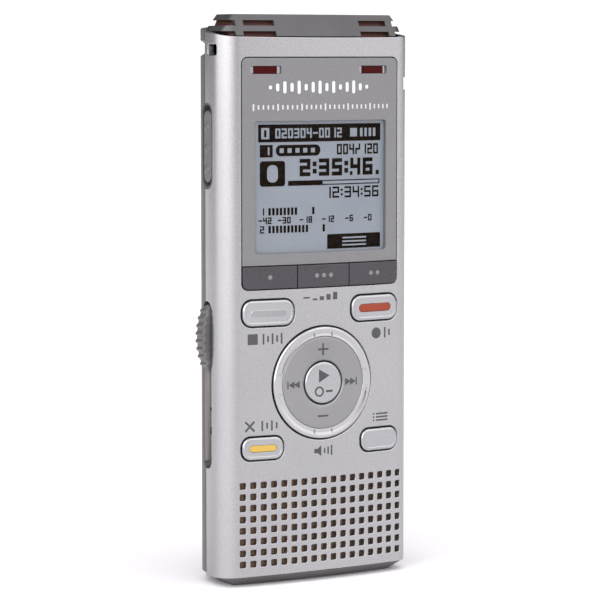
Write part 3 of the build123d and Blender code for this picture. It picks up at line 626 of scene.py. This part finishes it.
def strap_hole():
    """Opening in the left side wall."""
    y0, y1, z0, z1 = STRAP_HOLE
    u0, u1 = side_u(y1), side_u(y0)
    return rounded(((u0 + u1) / 2, (z0 + z1) / 2), (u1 - u0, z1 - z0), STRAP_CORNER, 5)


def corner_u(y):
    """Length along the plan to a place on the right front corner."""
    return CROWN_END + FRONT_CORNER * (math.acos((CORNER_Y - y) / FRONT_CORNER) - SWEEP)


def door_hole():
    """Opening for the card cover, with a finger scoop round the corner at its free end."""
    y0, y1, z0, z1 = DOOR
    u0, u1, u2 = corner_u(SCOOP[0]), corner_u(y0), -side_u(y1)
    return [(u1, z0), (u2, z0), (u2, z1), (u0, z1), (u0, SCOOP[1]), (u1, SCOOP[1])]


# Rounding at the cover's outside, display, four buttons, pad, strap hole, card cover and speaker holes
COVER_RIMS = (0.14, 0.12, 0.3, 0.3, 0.3, 0.3, 0.3, 0.14, 0.14, 0.15)


def front_cover():
    """Silver shell with a rounded rim at each opening and round each of the speaker's holes."""
    skin = Skin()
    display = (2 * (crown_u(PANEL_HALF) + PANEL_GAP), PANEL_TOP - KEYS_BOTTOM + 2 * PANEL_GAP)
    loops = [cover_edge(), rounded((0, (PANEL_TOP + KEYS_BOTTOM) / 2), display, PANEL_CORNER + PANEL_GAP)]
    loops += [button_hole(b) for b in (STOP, REC, ERASE, LIST)]
    loops.append(circle((0, NAV_Z), NAV_RADIUS + 0.2, 80))
    loops += [strap_hole(), divided(door_hole())]
    count = len(loops)
    for column in range(HOLE_COLUMNS):
        for row in range(HOLE_ROWS):
            x = HOLES_X + (column - (HOLE_COLUMNS - 1) / 2) * HOLE_PITCH
            z = SPEAKER_Z + (row - (HOLE_ROWS - 1) / 2) * HOLE_PITCH
            loops.append(rounded(at((x, z)), (HOLE_SIZE, HOLE_SIZE), HOLE_CORNER, 3))
    tops, feet = [], []
    for number, loop in enumerate(loops):
        radius = COVER_RIMS[min(number, count)]
        path = loop if number == 0 else loop[::-1]
        first, last, inner = skin.sweep(path, [(0, -WALL)] + quarter_round(radius, 0, 3))
        tops.append((last, inner))
        feet.append((first, path))
    skin.fill(tops, 0, 1)
    skin.fill(feet, -WALL, -1)
    skin.build("front_shell", silver, "case", ["front_cover"], soft_side=True)


def display_panel():
    """Grey plate with the window and two lamp openings."""
    skin = Skin()
    middle = (PANEL_TOP + PANEL_BOTTOM) / 2
    size = (2 * crown_u(PANEL_HALF), PANEL_TOP - PANEL_BOTTOM)
    loops = [rounded((0, middle), size, (0.12, PANEL_CORNER, PANEL_CORNER, 0.12))]
    loops.append(window_loop(0, 0.6)[::-1])
    for x in LED_X:
        loops.append(rounded(at((x, LED_Z)), LED_SIZE, 0.25, 4)[::-1])
    skin.plate(loops, -PANEL_THICK, 0, 0.09)
    skin.build("window_plate", panel_paint, "case", ["display_panel"])


def window_pane():
    """Clear pane in the plate."""
    skin = Skin()
    skin.plate([window_loop(-0.06, 0.57)], -PANEL_THICK + 0.02, -0.08, 0.05)
    skin.build("window_clear", pane, "case", ["display_window"])


def lamp_lens(x, name, node):
    """Dark red window over a lamp, between two short bright steps."""
    steps = Skin()
    size = (LED_SIZE[0] - 0.06, LED_SIZE[1] - 0.06)
    steps.plate([rounded(at((x, LED_Z)), size, 0.22, 4)], -PANEL_THICK, -0.45, 0.04)
    steps.build(name + "_steps", clear_bar, "case")
    skin = Skin()
    skin.plate([rounded(at((x, LED_Z)), LENS_SIZE, 0.12, 3)], -PANEL_THICK + 0.05, -0.2, 0.05)
    skin.build(name, lens_red, "case", [node])


# Display contents: plain digits, bars and boxes

SCREEN_BACK = -PANEL_THICK - 0.14
SCREEN_FACE = -PANEL_THICK - 0.1
SCREEN_INK = SCREEN_FACE + 0.03
SCREEN_LIGHT = SCREEN_FACE + 0.05
SCREEN_SHIFT = 0.1
COLON_ROOM = 0.45
SEGMENTS = {"0": "abcdef", "1": "bc", "2": "abged", "3": "abgcd", "4": "fgbc", "5": "afgcd",
            "6": "afgedc", "7": "abc", "8": "abcdefg", "9": "abcdfg", "-": "g", "/": "bge"}


def screen(u, v):
    """Place on the display from shares of its width and height, from the top left."""
    height = WINDOW_TOP - WINDOW_BOTTOM
    return (crown_u(WINDOW_HALF) * (2 * u - 1) + SCREEN_SHIFT, WINDOW_TOP - height * v)


def block(skin, u0, v0, u1, v1, light=False):
    """Rectangle on the display between two corners given as shares."""
    x0, z1 = screen(u0, v0)
    x1, z0 = screen(u1, v1)
    top = SCREEN_LIGHT if light else SCREEN_INK
    skin.bar(x0, x1, z0, z1, SCREEN_FACE, top)


def pill(skin, u0, v0, u1, v1, share, light=False):
    """Rectangle on the display with rounded corners; a share of 1 makes its ends round."""
    x0, z1 = screen(u0, v0)
    x1, z0 = screen(u1, v1)
    radius = share * min(x1 - x0, z1 - z0) / 2
    loop = rounded(((x0 + x1) / 2, (z0 + z1) / 2), (x1 - x0, z1 - z0), radius, 6)
    skin.plate([loop], SCREEN_FACE, SCREEN_LIGHT if light else SCREEN_INK, 0.004, 1)


def hollow_box(skin, u0, v0, u1, v1, across, down, light=False):
    """Outline of a rectangle; its sides are across wide, its top and bottom down high."""
    for low, high in ((u0, u0 + across), (u1 - across, u1)):
        block(skin, low, v0, high, v1, light)
    for low, high in ((v0, v0 + down), (v1 - down, v1)):
        block(skin, u0, low, u1, high, light)


def digit(skin, char, u0, v0, u1, v1, weight, light=False):
    """Seven-segment figure in a box; a colon is two dots."""
    wide = weight * 0.82
    middle = (v0 + v1) / 2
    if char == ":":
        for v in (v0 + (v1 - v0) * 0.3, v0 + (v1 - v0) * 0.72):
            u = (u0 + u1) / 2
            block(skin, u - wide * 0.6, v - weight * 0.6, u + wide * 0.6, v + weight * 0.6, light)
        return
    parts = {
        "a": (u0, v0, u1, v0 + weight), "g": (u0, middle - weight / 2, u1, middle + weight / 2),
        "d": (u0, v1 - weight, u1, v1), "f": (u0, v0, u0 + wide, middle), "b": (u1 - wide, v0, u1, middle),
        "e": (u0, middle, u0 + wide, v1), "c": (u1 - wide, middle, u1, v1)}
    for part in SEGMENTS[char]:
        block(skin, *parts[part], light)


def figures(skin, text, u0, u1, v0, v1, weight, light=False):
    """A row of figures spread over a width."""
    rooms = [COLON_ROOM if c == ":" else 1 for c in text]
    pitch = (u1 - u0) / sum(rooms)
    u = u0
    for c, room in zip(text, rooms):
        wide = pitch * room
        digit(skin, c, u + pitch * 0.08, v0, u + wide - pitch * 0.12, v1, weight, light)
        u += wide


def display_contents():
    """Film of the display and what it shows."""
    film_skin = Skin()
    film_skin.plate([window_loop(0.8, 0.2, 2)], SCREEN_BACK, SCREEN_FACE, 0.01, 1)
    film_skin.build("lcd_film", lcd_face, "case")

    dark = Skin()
    light = Skin()
    block(dark, .031, .025, .967, .158)
    figures(light, "020304-0012", .15, .66, .055, .13, .014, True)
    hollow_box(light, .052, .05, .11, .135, .02, .016, True)
    for low, high in ((.80, .82), (.835, .855), (.87, .89), (.905, .925)):
        block(light, low, .06, high, .125, True)
    block(light, .72, .06, .775, .125, True)

    block(dark, .042, .178, .135, .272)
    figures(light, "1", .06, .118, .195, .255, .014, True)
    pill(dark, .157, .18, .489, .265, 0.98)
    for step in range(5):
        block(light, .185 + .058 * step, .205, .215 + .058 * step, .24, True)
    figures(dark, "004/120", .613, .953, .18, .26, .014)
    pill(dark, .042, .30, .225, .492, 0.25)
    pill(light, .094, .33, .172, .462, 0.9, True)
    figures(dark, "2:35:46", .325, .915, .288, .42, .030)
    for low in (.497, .72):
        block(dark, low, .39, low + .02, .42)
    block(dark, .93, .385, .955, .42)
    hollow_box(dark, .247, .452, .96, .49, .008, .008)
    block(dark, .247, .452, .507, .49)
    figures(dark, "12:34:56", .513, .96, .505, .59, .014)
    for sign, row, count, peak in (("1", .655, 8, .427), ("2", .79, 11, .507)):
        for step in range(count):
            low = .104 + .0275 * step
            block(dark, low, row, low + .017, row + .055)
        block(dark, peak, row, peak + .017, row + .055)
        figures(dark, sign, .04, .077, row, row + .055, .010)
    for text, low, high in (("-42", .03, .13), ("-30", .17, .27), ("-18", .33, .43), ("-12", .50, .60),
                            ("-6", .68, .75), ("-0", .83, .90)):
        figures(dark, text, low, high, .725, .775, .010)
    block(dark, .542, .868, .967, .98)
    for step in range(3):
        block(light, .66, .893 + .028 * step, .85, .905 + .028 * step, True)
    dark.build("lcd_marks_dark", lcd_dark, "case")
    light.build("lcd_marks_light", lcd_face, "case")


# Keys and buttons

def function_key(name, x0, x1, corners, body, node):
    """One key of the dark strip."""
    skin = Skin()
    top = PANEL_BOTTOM - KEY_GAP
    u0, u1 = crown_u(x0), crown_u(x1)
    loop = rounded(((u0 + u1) / 2, (KEYS_BOTTOM + top) / 2), (u1 - u0, top - KEYS_BOTTOM), corners, 4)
    skin.plate([loop], -WALL, RISE - 0.05, 0.16, 4)
    skin.build(name, key_paint, body, [node])


BUTTON_PROFILE = [(0, -WALL), (0, 0.02), (0.03, 0.10), (0.12, 0.22), (0.28, 0.31), (0.46, 0.345),
                  (0.56, 0.34), (0.60, 0.30), (0.64, 0.27), (0.72, 0.265)]


def push_button(name, button, body, node, insert=None):
    """Silver button with a bright rounded rim round a slightly sunk top."""
    centre, (wide, high, radius) = button
    skin = Skin()
    outside = rounded(at(centre), (wide, high), radius, 8)
    if insert:
        hole = rounded(at(centre), insert, insert[1] / 2, 8)[::-1]
        first, last, inner = skin.sweep(outside, BUTTON_PROFILE)
        pit = [(0, -WALL), (0, 0.19), (0.03, 0.245), (0.08, 0.265)]
        foot, lip, lip_loop = skin.sweep(hole, pit)
        skin.fill([(last, inner), (lip, lip_loop)], BUTTON_PROFILE[-1][1], 1, margin=0.2)
        skin.fill([(first, outside), (foot, hole)], -WALL, -1)
    else:
        skin.shaped([outside], BUTTON_PROFILE)
    skin.build(name, silver_key, body, [node])


def insert_bar(name, button, size, material, body, node):
    """Coloured bar let into a button, a little proud of it."""
    skin = Skin()
    loop = rounded(at(button[0]), (size[0] - 0.04, size[1] - 0.04), size[1] / 2 - 0.02, 8)
    skin.plate([loop], -0.3, 0.36, 0.22, 4)
    skin.build(name, material, body, [node] if node else ())


def navigation_pad():
    """Clear ring, satin disc and centre button."""
    ring = Skin()
    rim = [(DISC_RADIUS + 0.03, -WALL), (NAV_RADIUS, -WALL), (NAV_RADIUS, 0.0), (10.46, 0.12), (10.36, 0.24),
           (10.18, 0.33), (9.95, 0.345), (9.7, 0.28), (9.5, 0.17), (9.3, 0.12), (9.1, 0.14), (8.95, 0.2),
           (8.82, 0.22), (8.72, 0.18), (DISC_RADIUS + 0.03, 0.1)]
    ring.lathe((0, NAV_Z), rim, True, 128)
    ring.build("nav_ring_clear", nav_clear, "rocker_pad", ["nav_ring"])

    disc = Skin()
    hole, foot = OK_RADIUS + OK_GAP, -WALL + COLLAR_ROOM
    face = [(hole, foot), (DISC_RADIUS, foot), (DISC_RADIUS, 0.1), (8.6, 0.2), (8.45, 0.26), (8.2, 0.28),
            (6.5, 0.25), (4.9, 0.22), (4.5, 0.2), (4.38, 0.14), (hole, 0.04)]
    disc.lathe((0, NAV_Z), face, True, 128)
    disc.build("nav_disc_satin", nav_satin, "rocker_pad", ["nav_disc"])

    cap = Skin()
    dome = [(OK_RADIUS, -WALL), (OK_RADIUS, -0.1), (OK_RADIUS - 0.06, 0.06), (OK_RADIUS - 0.2, 0.2),
            (OK_RADIUS - 0.4, 0.28), (OK_RADIUS - 0.62, 0.3), (OK_RADIUS - 0.85, 0.27), (OK_RADIUS - 1.1, 0.25),
            (1.5, 0.24), (0.2, 0.24)]
    cap.lathe((0, NAV_Z), dome, False, 96)
    cap.build("ok_cap", silver_key, "ok_push", ["ok_button"])


# Printed signs: plain shapes in place of words

INK = 0.025
INK_FOOT = -0.02


def mark(skin, u0, u1, z0, z1, base=0):
    """Rectangle of ink on a face at height base."""
    skin.bar(u0, u1, z0, z1, base + INK_FOOT, base + INK)


def spot(skin, loop, base=0):
    """Ink of any convex outline."""
    skin.tile(loop, base + INK_FOOT, base + INK)


def stroke(skin, start, stop, width, base):
    """Straight line of ink between two places."""
    (u0, z0), (u1, z1) = start, stop
    length = math.hypot(u1 - u0, z1 - z0)
    side = (-(z1 - z0) / length * width / 2, (u1 - u0) / length * width / 2)
    loop = [(u0 - side[0], z0 - side[1]), (u1 - side[0], z1 - side[1]),
            (u1 + side[0], z1 + side[1]), (u0 + side[0], z0 + side[1])]
    spot(skin, loop, base)


def triangle(skin, centre, size, base, way=1):
    """Solid triangle pointing right, or left when way is -1."""
    u, z = centre
    reach = way * size * 0.45
    loop = [(u - reach, z - size / 2), (u + reach, z), (u - reach, z + size / 2)]
    spot(skin, loop if way > 0 else loop[::-1], base)


def ring_mark(skin, centre, outer, inner, base):
    """Round line of ink."""
    a, b = circle(centre, outer, 40), circle(centre, inner, 40)
    up = [(0, 0, 1)] * 40
    low_a, low_b = skin.add(a, base + INK_FOOT, up), skin.add(b, base + INK_FOOT, up)
    top_a, top_b = skin.add(a, base + INK, up), skin.add(b, base + INK, up)
    skin.bridge(low_a, top_a)
    skin.bridge(top_a, top_b)
    skin.bridge(top_b, low_b)
    skin.bridge(low_b, low_a)


def dashes(skin, x0, x1, z, high, count):
    """Short upright bars in a row, in place of a word."""
    pitch = (x1 - x0) / count
    for step in range(count):
        u = crown_u(x0 + pitch * (step + 0.5))
        tall = high if step % 2 == 0 else high * 0.6
        mark(skin, u - 0.17, u + 0.17, z - tall / 2, z + tall / 2)


def cover_signs():
    """Signs on the cover beside the buttons."""
    skin = Skin()
    dashes(skin, -12.9, -8.3, 46.3, 2.0, 5)
    dashes(skin, 13.4, 15.4, 46.2, 2.0, 2)
    dashes(skin, -13.2, -9.3, 30.15, 1.9, 4)
    spot(skin, rounded(at((-14.6, 46.3)), (2.0, 2.0), 0.15, 2))
    spot(skin, circle(at((11.9, 46.2)), 1.05, 32))
    for way in (-1, 1):
        stroke(skin, at((-16.1, 30.15 - 0.9 * way)), at((-14.3, 30.15 + 0.9 * way)), 0.38, 0)
    for row in range(3):
        z = 29.55 + 0.62 * row
        stroke(skin, at((11.2, z)), at((11.5, z)), 0.3, 0)
        stroke(skin, at((11.9, z)), at((14.6, z)), 0.3, 0)
    mark(skin, -1.9, -1.2, 24.3, 25.1)
    spot(skin, [(-1.2, 24.3), (-0.4, 23.7), (-0.4, 25.7), (-1.2, 25.1)])
    for step in range(3):
        u = 0.2 + 0.75 * step
        high = 0.45 + 0.25 * step
        mark(skin, u, u + 0.3, 24.7 - high, 24.7 + high)
    mark(skin, -4.2, -2.9, 53.45, 53.75)
    for step in range(4):
        mark(skin, -2.2 + 1.45 * step, -1.3 + 1.45 * step, 53.05, 53.05 + 0.35 * (step + 1))
    skin.build("cover_signs", ink, "case")


def panel_signs():
    """A plain wave in place of a name, and a fine scale under it."""
    skin = Skin()
    heights = (0.35, 0.7, 1.1, 0.8, 1.2, 0.6, 0.95, 1.2, 0.75, 1.1, 0.5, 0.9, 1.2, 0.65, 0.35)
    for step, high in enumerate(heights):
        u = -11.0 + 1.47 * step
        spot(skin, rounded((u, 92.6), (0.62, 2 * high), 0.29, 4))
    skin.build("panel_wave", ink_white, "case")
    rule = Skin()
    for step in range(30):
        u = -14.4 + 0.99 * step
        tall = 0.62 if step % 5 == 0 else 0.4
        mark(rule, u - 0.15, u + 0.15, 88.95 - tall, 88.95 + tall)
    rule.build("panel_rule", ink_pale, "case")


def key_signs():
    """One, two and three dots on the function keys."""
    top = RISE - 0.05
    z = (KEYS_BOTTOM + PANEL_BOTTOM) / 2
    for name, body, centre, dots in (("f1_dots", "f1_push", -11.2, 1), ("menu_dots", "menu_push", 0, 3),
                                     ("f2_dots", "f2_push", 11.2, 2)):
        skin = Skin()
        for step in range(dots):
            u = crown_u(centre) + (step - (dots - 1) / 2) * 1.5
            spot(skin, circle((u, z), 0.42, 20), top)
        skin.build(name, ink_soft, body)
    dash = Skin()
    mark(dash, -0.9, 0.9, z + 1.35, z + 1.55, top)
    dash.build("menu_dash", ink_dark, "menu_push")


def pad_signs():
    """Plus, minus and skip signs on the pad, and a play sign on the centre button."""
    skin = Skin()
    face = 0.265
    arm = 1.12
    stroke(skin, (-arm - 0.15, 43.85), (arm - 0.15, 43.85), 0.34, face)
    stroke(skin, (-0.15, 43.85 - arm), (-0.15, 43.85 + arm), 0.34, face)
    stroke(skin, (-arm - 0.15, 31.3), (arm - 0.15, 31.3), 0.34, face)
    for way, middle in ((-1, -5.75), (1, 5.3)):
        for step in range(2):
            triangle(skin, (middle + way * 1.1 * step, 37.45), 1.35, face - 0.005, way)
        stroke(skin, (middle + way * 1.85, 36.75), (middle + way * 1.85, 38.15), 0.24, face)
    skin.build("pad_signs", ink, "rocker_pad")
    ribs = Skin()
    for way in (-1, 1):
        for aside in (-1.9, 1.9):
            for (u0, z0), (u1, z1) in (((aside, way * 8.6), (aside, way * 10.15)),
                                       ((way * 8.6, aside), (way * 10.15, aside))):
                stroke(ribs, (u0, NAV_Z + z0), (u1, NAV_Z + z1), 0.2, 0.29)
    ribs.build("pad_ribs", ink_light, "rocker_pad")
    play = Skin()
    triangle(play, (0.1, 38.85), 2.5, 0.24)
    ring_mark(play, (-0.95, 35.9), 0.98, 0.66, 0.24)
    stroke(play, (0.5, 35.9), (1.9, 35.9), 0.4, 0.24)
    play.build("play_sign", ink, "ok_push")


# Left side: ribbed lever and sliding knob

def thumb_lever():
    """Lever with an arched back and rounded ribs."""
    y0, y1, z0, z1 = LEVER
    middle, half = (z0 + z1) / 2, (z1 - z0) / 2
    peak = -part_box("usb_lever")[0].x / MM - SIDE - LEVER_RIB
    root = 0.1
    radius = (half ** 2 + (peak - root) ** 2) / (2 * (peak - root))
    pitch = 2 * (half - 1.05) / (LEVER_RIBS - 1)

    def lift(u, z):
        arch = np.sqrt(radius ** 2 - (z - middle) ** 2) - radius + peak
        along = (z - middle) / pitch + (LEVER_RIBS - 1) / 2
        nearest = np.clip(np.round(along), 0, LEVER_RIBS - 1)
        away = (along - nearest) * pitch / (LEVER_RIB + 0.03)
        return arch + (LEVER_RIB - 0.02) * np.sqrt(np.clip(1 - away ** 2, 0, 1))

    skin = Skin()
    lattice = {"columns": [side_u(y) for y in spaced(y0, y1, 0.35)],
               "rows": spaced(z0, z1, FINE_STEP), "margin": 0.06}
    fine = slot_loop(LEVER)
    dense = []
    for (u0, z_from), (u1, z_to) in zip(fine, fine[1:] + fine[:1]):
        count = max(1, round(abs(z_to - z_from) / 0.13))
        dense += [(u0 + (u1 - u0) * k / count, z_from + (z_to - z_from) * k / count) for k in range(count)]
    skin.shaped([dense], [(0, -WALL)] + quarter_round(0.3, 0, 4), lift, **lattice)
    skin.build("thumb_lever", lever_plastic, "plug_slider", ["usb_lever"], True)


def slot_rail():
    """Guide seen through the lever's slot, with two raised steps, and a strip of its lighter plastic laid over
    the slot's shaded rear wall as painted light.
    """
    skin = Skin()
    y0, y1, z0, z1 = LEVER_SLOT
    skin.plate([slot_loop((y0 - 0.3, y1 + 0.3, z0 - 0.3, z1 + 0.3))], -WALL - 0.5, -WALL - 0.32, 0.05)
    for low, high, front in ((z0 - 0.2, 27.8, y0 + 0.9), (29.3, 32.2, y0 + 0.9), (33.0, z1, y0 + 1.5)):
        skin.bar(side_u(y1 + 0.2), side_u(front), low, high, -WALL - 0.34, -WALL - 0.04)
    # Painted light: a thin strip of the rail's lighter plastic over the slot's shaded rear wall, so that the
    # wall looks lit
    skin.bar(side_u(y1 - 0.01), side_u(y1 - 0.08), z0 + 1.15, z1 - 1.2, -WALL, -0.12)
    skin.build("slot_rail", rail_plastic, "case")


def slide_knob():
    """Knob with three raised dots."""
    middle = side_u((KNOB[0] + KNOB[1]) / 2)

    def lift(u, z):
        total = 0
        for bump in KNOB_BUMPS:
            away = ((u - middle) ** 2 + (z - bump) ** 2) / BUMP_RADIUS ** 2
            total = total + BUMP_HEIGHT * np.sqrt(np.clip(1 - away, 0, 1))
        return total

    skin = Skin()
    y0, y1, z0, z1 = KNOB
    lattice = {"columns": [side_u(y) for y in spaced(y0, y1, 0.1)],
               "rows": spaced(z0, z1, FINE_STEP), "margin": 0.05}
    skin.plate([slot_loop(KNOB)], -WALL, -0.1, 0.2, 4, lift, **lattice)
    skin.build("slide_knob", lever_plastic, "hold_slider", ["power_hold_knob"], True)


front_cover()
display_panel()
window_pane()
lamp_lens(LED_X[0], "lens_left", "led_lens_left")
lamp_lens(LED_X[1], "lens_right", "led_lens_right")
display_contents()
EDGE = KEY_SPLIT - KEY_GAP / 2
function_key("f1_cap", -PANEL_HALF, -EDGE - KEY_GAP, (0.2, 0.2, 0.2, PANEL_CORNER), "f1_push", "f1_key")
function_key("menu_cap", -EDGE, EDGE, 0.2, "menu_push", "menu_key")
function_key("f2_cap", EDGE + KEY_GAP, PANEL_HALF, (PANEL_CORNER, 0.2, 0.2, 0.2), "f2_push", "f2_key")
push_button("stop_cap", STOP, "stop_push", "stop_button")
push_button("rec_cap", REC, "record_push", "rec_button", REC_INSERT)
push_button("erase_cap", ERASE, "erase_push", "erase_button", ERASE_INSERT)
push_button("list_cap", LIST, "list_push", "list_button")
insert_bar("rec_bar", REC, REC_INSERT, orange, "record_push", "rec_insert")
insert_bar("erase_bar", ERASE, ERASE_INSERT, yellow, "erase_push", "erase_insert")
insert_bar("stop_bar", STOP, (7.25, 1.4), clear_bar, "stop_push", None)
navigation_pad()
cover_signs()
panel_signs()
key_signs()
pad_signs()
thumb_lever()
slot_rail()
slide_knob()

# Finishes of the nodes that stay as the frame has them
FINISHES = {
    rear_paint: ("rear_case", "battery_cover", "switch_bezel"),
    cap_paint: ("mic_grille_cap",),
    silver: ("front_cover", "card_cover"),
    mic_mesh: ("mic_screen_left", "mic_screen_right"),
    basket: ("mic_capsule_left", "mic_capsule_right", "speaker_frame"),
    rubber: ("mic_boot_left", "mic_boot_right", "nav_collar"),
    jack_plastic: ("mic_jack", "ear_jack", "slide_switch", "card_socket"),
    led_chip: ("indicator_led_left", "indicator_led_right"),
    frame_plastic: ("lcd_frame",),
    lcd_face: ("lcd_panel",),
    keypad: ("keypad_membrane",),
    spring_steel: ("dome_switches", "battery_springs", "battery_plates", "card_cover_pin"),
    board: ("main_board",),
    chip: ("processor_chip", "memory_chip"),
    film: ("speaker_cone",),
    cloth: ("speaker_cloth",),
    chassis_plastic: ("chassis",),
    slide_plastic: ("usb_carriage",),
    cell_wrap: ("battery_cell_left", "battery_cell_right"),
    plug_metal: ("usb_plug_shell",),
    tongue: ("usb_tongue",),
    gold: ("usb_contacts",),
    screw_steel: ("case_screws",),
    silver_key: ("stop_button", "rec_button", "erase_button", "list_button", "ok_button",
                 "nav_disc", "nav_ring"),
    key_paint: ("f1_key", "menu_key", "f2_key"),
    lever_plastic: ("usb_lever", "power_hold_knob"),
    panel_paint: ("display_panel",),
    pane: ("display_window",),
    lens_red: ("led_lens_left", "led_lens_right"),
    orange: ("rec_insert",),
    yellow: ("erase_insert",),
}
for material, names in FINISHES.items():
    for name in names:
        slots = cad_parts[name].data.materials
        slots.clear()
        slots.append(material)

# Camera, floor and light
YAW = math.radians(29.83)
PITCH = math.radians(5.288)
AIM = Vector((-4.99, -8.25, 53.26)) * MM
DISTANCE = 0.49625
FLOOR_HALF = 12.0

camera = bpy.data.objects.new("camera", bpy.data.cameras.new("camera"))
place_in_scene(camera)
camera.data.lens = 160.5
camera.data.sensor_width = 36
forward = Vector((math.sin(YAW) * math.cos(PITCH), math.cos(YAW) * math.cos(PITCH), -math.sin(PITCH)))
camera.location = AIM - forward * DISTANCE
camera.rotation_euler = forward.to_track_quat("-Z", "Y").to_euler()
camera.data.clip_start = 0.01
camera.data.clip_end = 20
bpy.context.scene.camera = camera


def direction(azimuth, elevation):
    """Unit vector towards a light; azimuth 0 is in front and positive to the right."""
    a, e = math.radians(azimuth), math.radians(elevation)
    return Vector((math.sin(a) * math.cos(e), -math.cos(a) * math.cos(e), math.sin(e)))


def studio_floor():
    """Pale floor."""
    skin = bpy.data.meshes.new("floor")
    corners = [(x * FLOOR_HALF, y * FLOOR_HALF, 0) for x, y in ((-1, -1), (1, -1), (1, 1), (-1, 1))]
    skin.from_pydata(corners, [], [(0, 1, 2, 3)])
    floor = bpy.data.objects.new("floor", skin)
    place_in_scene(floor)
    skin.materials.append(finish("floor_paper", (0.86, 0.86, 0.87), (0.88, 0.88, 0.89), 0.0, (0.7, 0.8),
                                          grain=400, patch=8, bump=0.02))


def area_light(name, azimuth, elevation, distance, size, power):
    """Soft box aimed at the middle of the object."""
    light = bpy.data.lights.new(name, "AREA")
    light.shape = "RECTANGLE"
    light.size, light.size_y = size
    light.energy = power
    lamp = bpy.data.objects.new(name, light)
    way = direction(azimuth, elevation)
    lamp.location = AIM + way * distance
    lamp.rotation_euler = (-way).to_track_quat("-Z", "Y").to_euler()
    place_in_scene(lamp)


studio_floor()
area_light("left_box", -48, 20, 0.9, (0.5, 0.7), 0.35)
area_light("top_box", 20, 80, 1.2, (1.4, 1.4), 0.7)

# Brightness all round, then boxes: azimuth, elevation, cosines where each starts and is full, brightness
WORLD_BASE = 0.05
WORLD_TINT = (1.0, 0.965, 1.0, 1)
WORLD_BOXES = ((-60, 18, 0.45, 1.0, 3.3), (42, 30, 0.55, 1.0, 1.8), (150, 0, 0.975, 0.988, 1.1),
               (0, 90, 0.4, 0.85, 0.8))


def studio_world():
    """Surround with soft boxes to the left, the right, behind and overhead."""
    world = bpy.data.worlds.new("studio")
    world.use_nodes = True
    tree = world.node_tree
    around = tree.nodes.new("ShaderNodeTexCoord")
    total = None
    for azimuth, elevation, start, full, strength in WORLD_BOXES:
        toward = tree.nodes.new("ShaderNodeVectorMath")
        toward.operation = "DOT_PRODUCT"
        toward.inputs[1].default_value = direction(azimuth, elevation)
        link(tree, around.outputs["Generated"], toward.inputs[0])
        ramp = ranged(tree, toward.outputs["Value"], start, full, 0, strength)
        ramp.interpolation_type = "SMOOTHSTEP"
        add = tree.nodes.new("ShaderNodeMath")
        add.inputs[0].default_value = WORLD_BASE
        if total:
            link(tree, total, add.inputs[0])
        link(tree, ramp.outputs["Result"], add.inputs[1])
        total = add.outputs["Value"]
    link(tree, total, tree.nodes["Background"].inputs["Strength"])
    tree.nodes["Background"].inputs["Color"].default_value = WORLD_TINT
    bpy.context.scene.world = world


studio_world()
bpy.context.scene.view_settings.view_transform = "Standard"
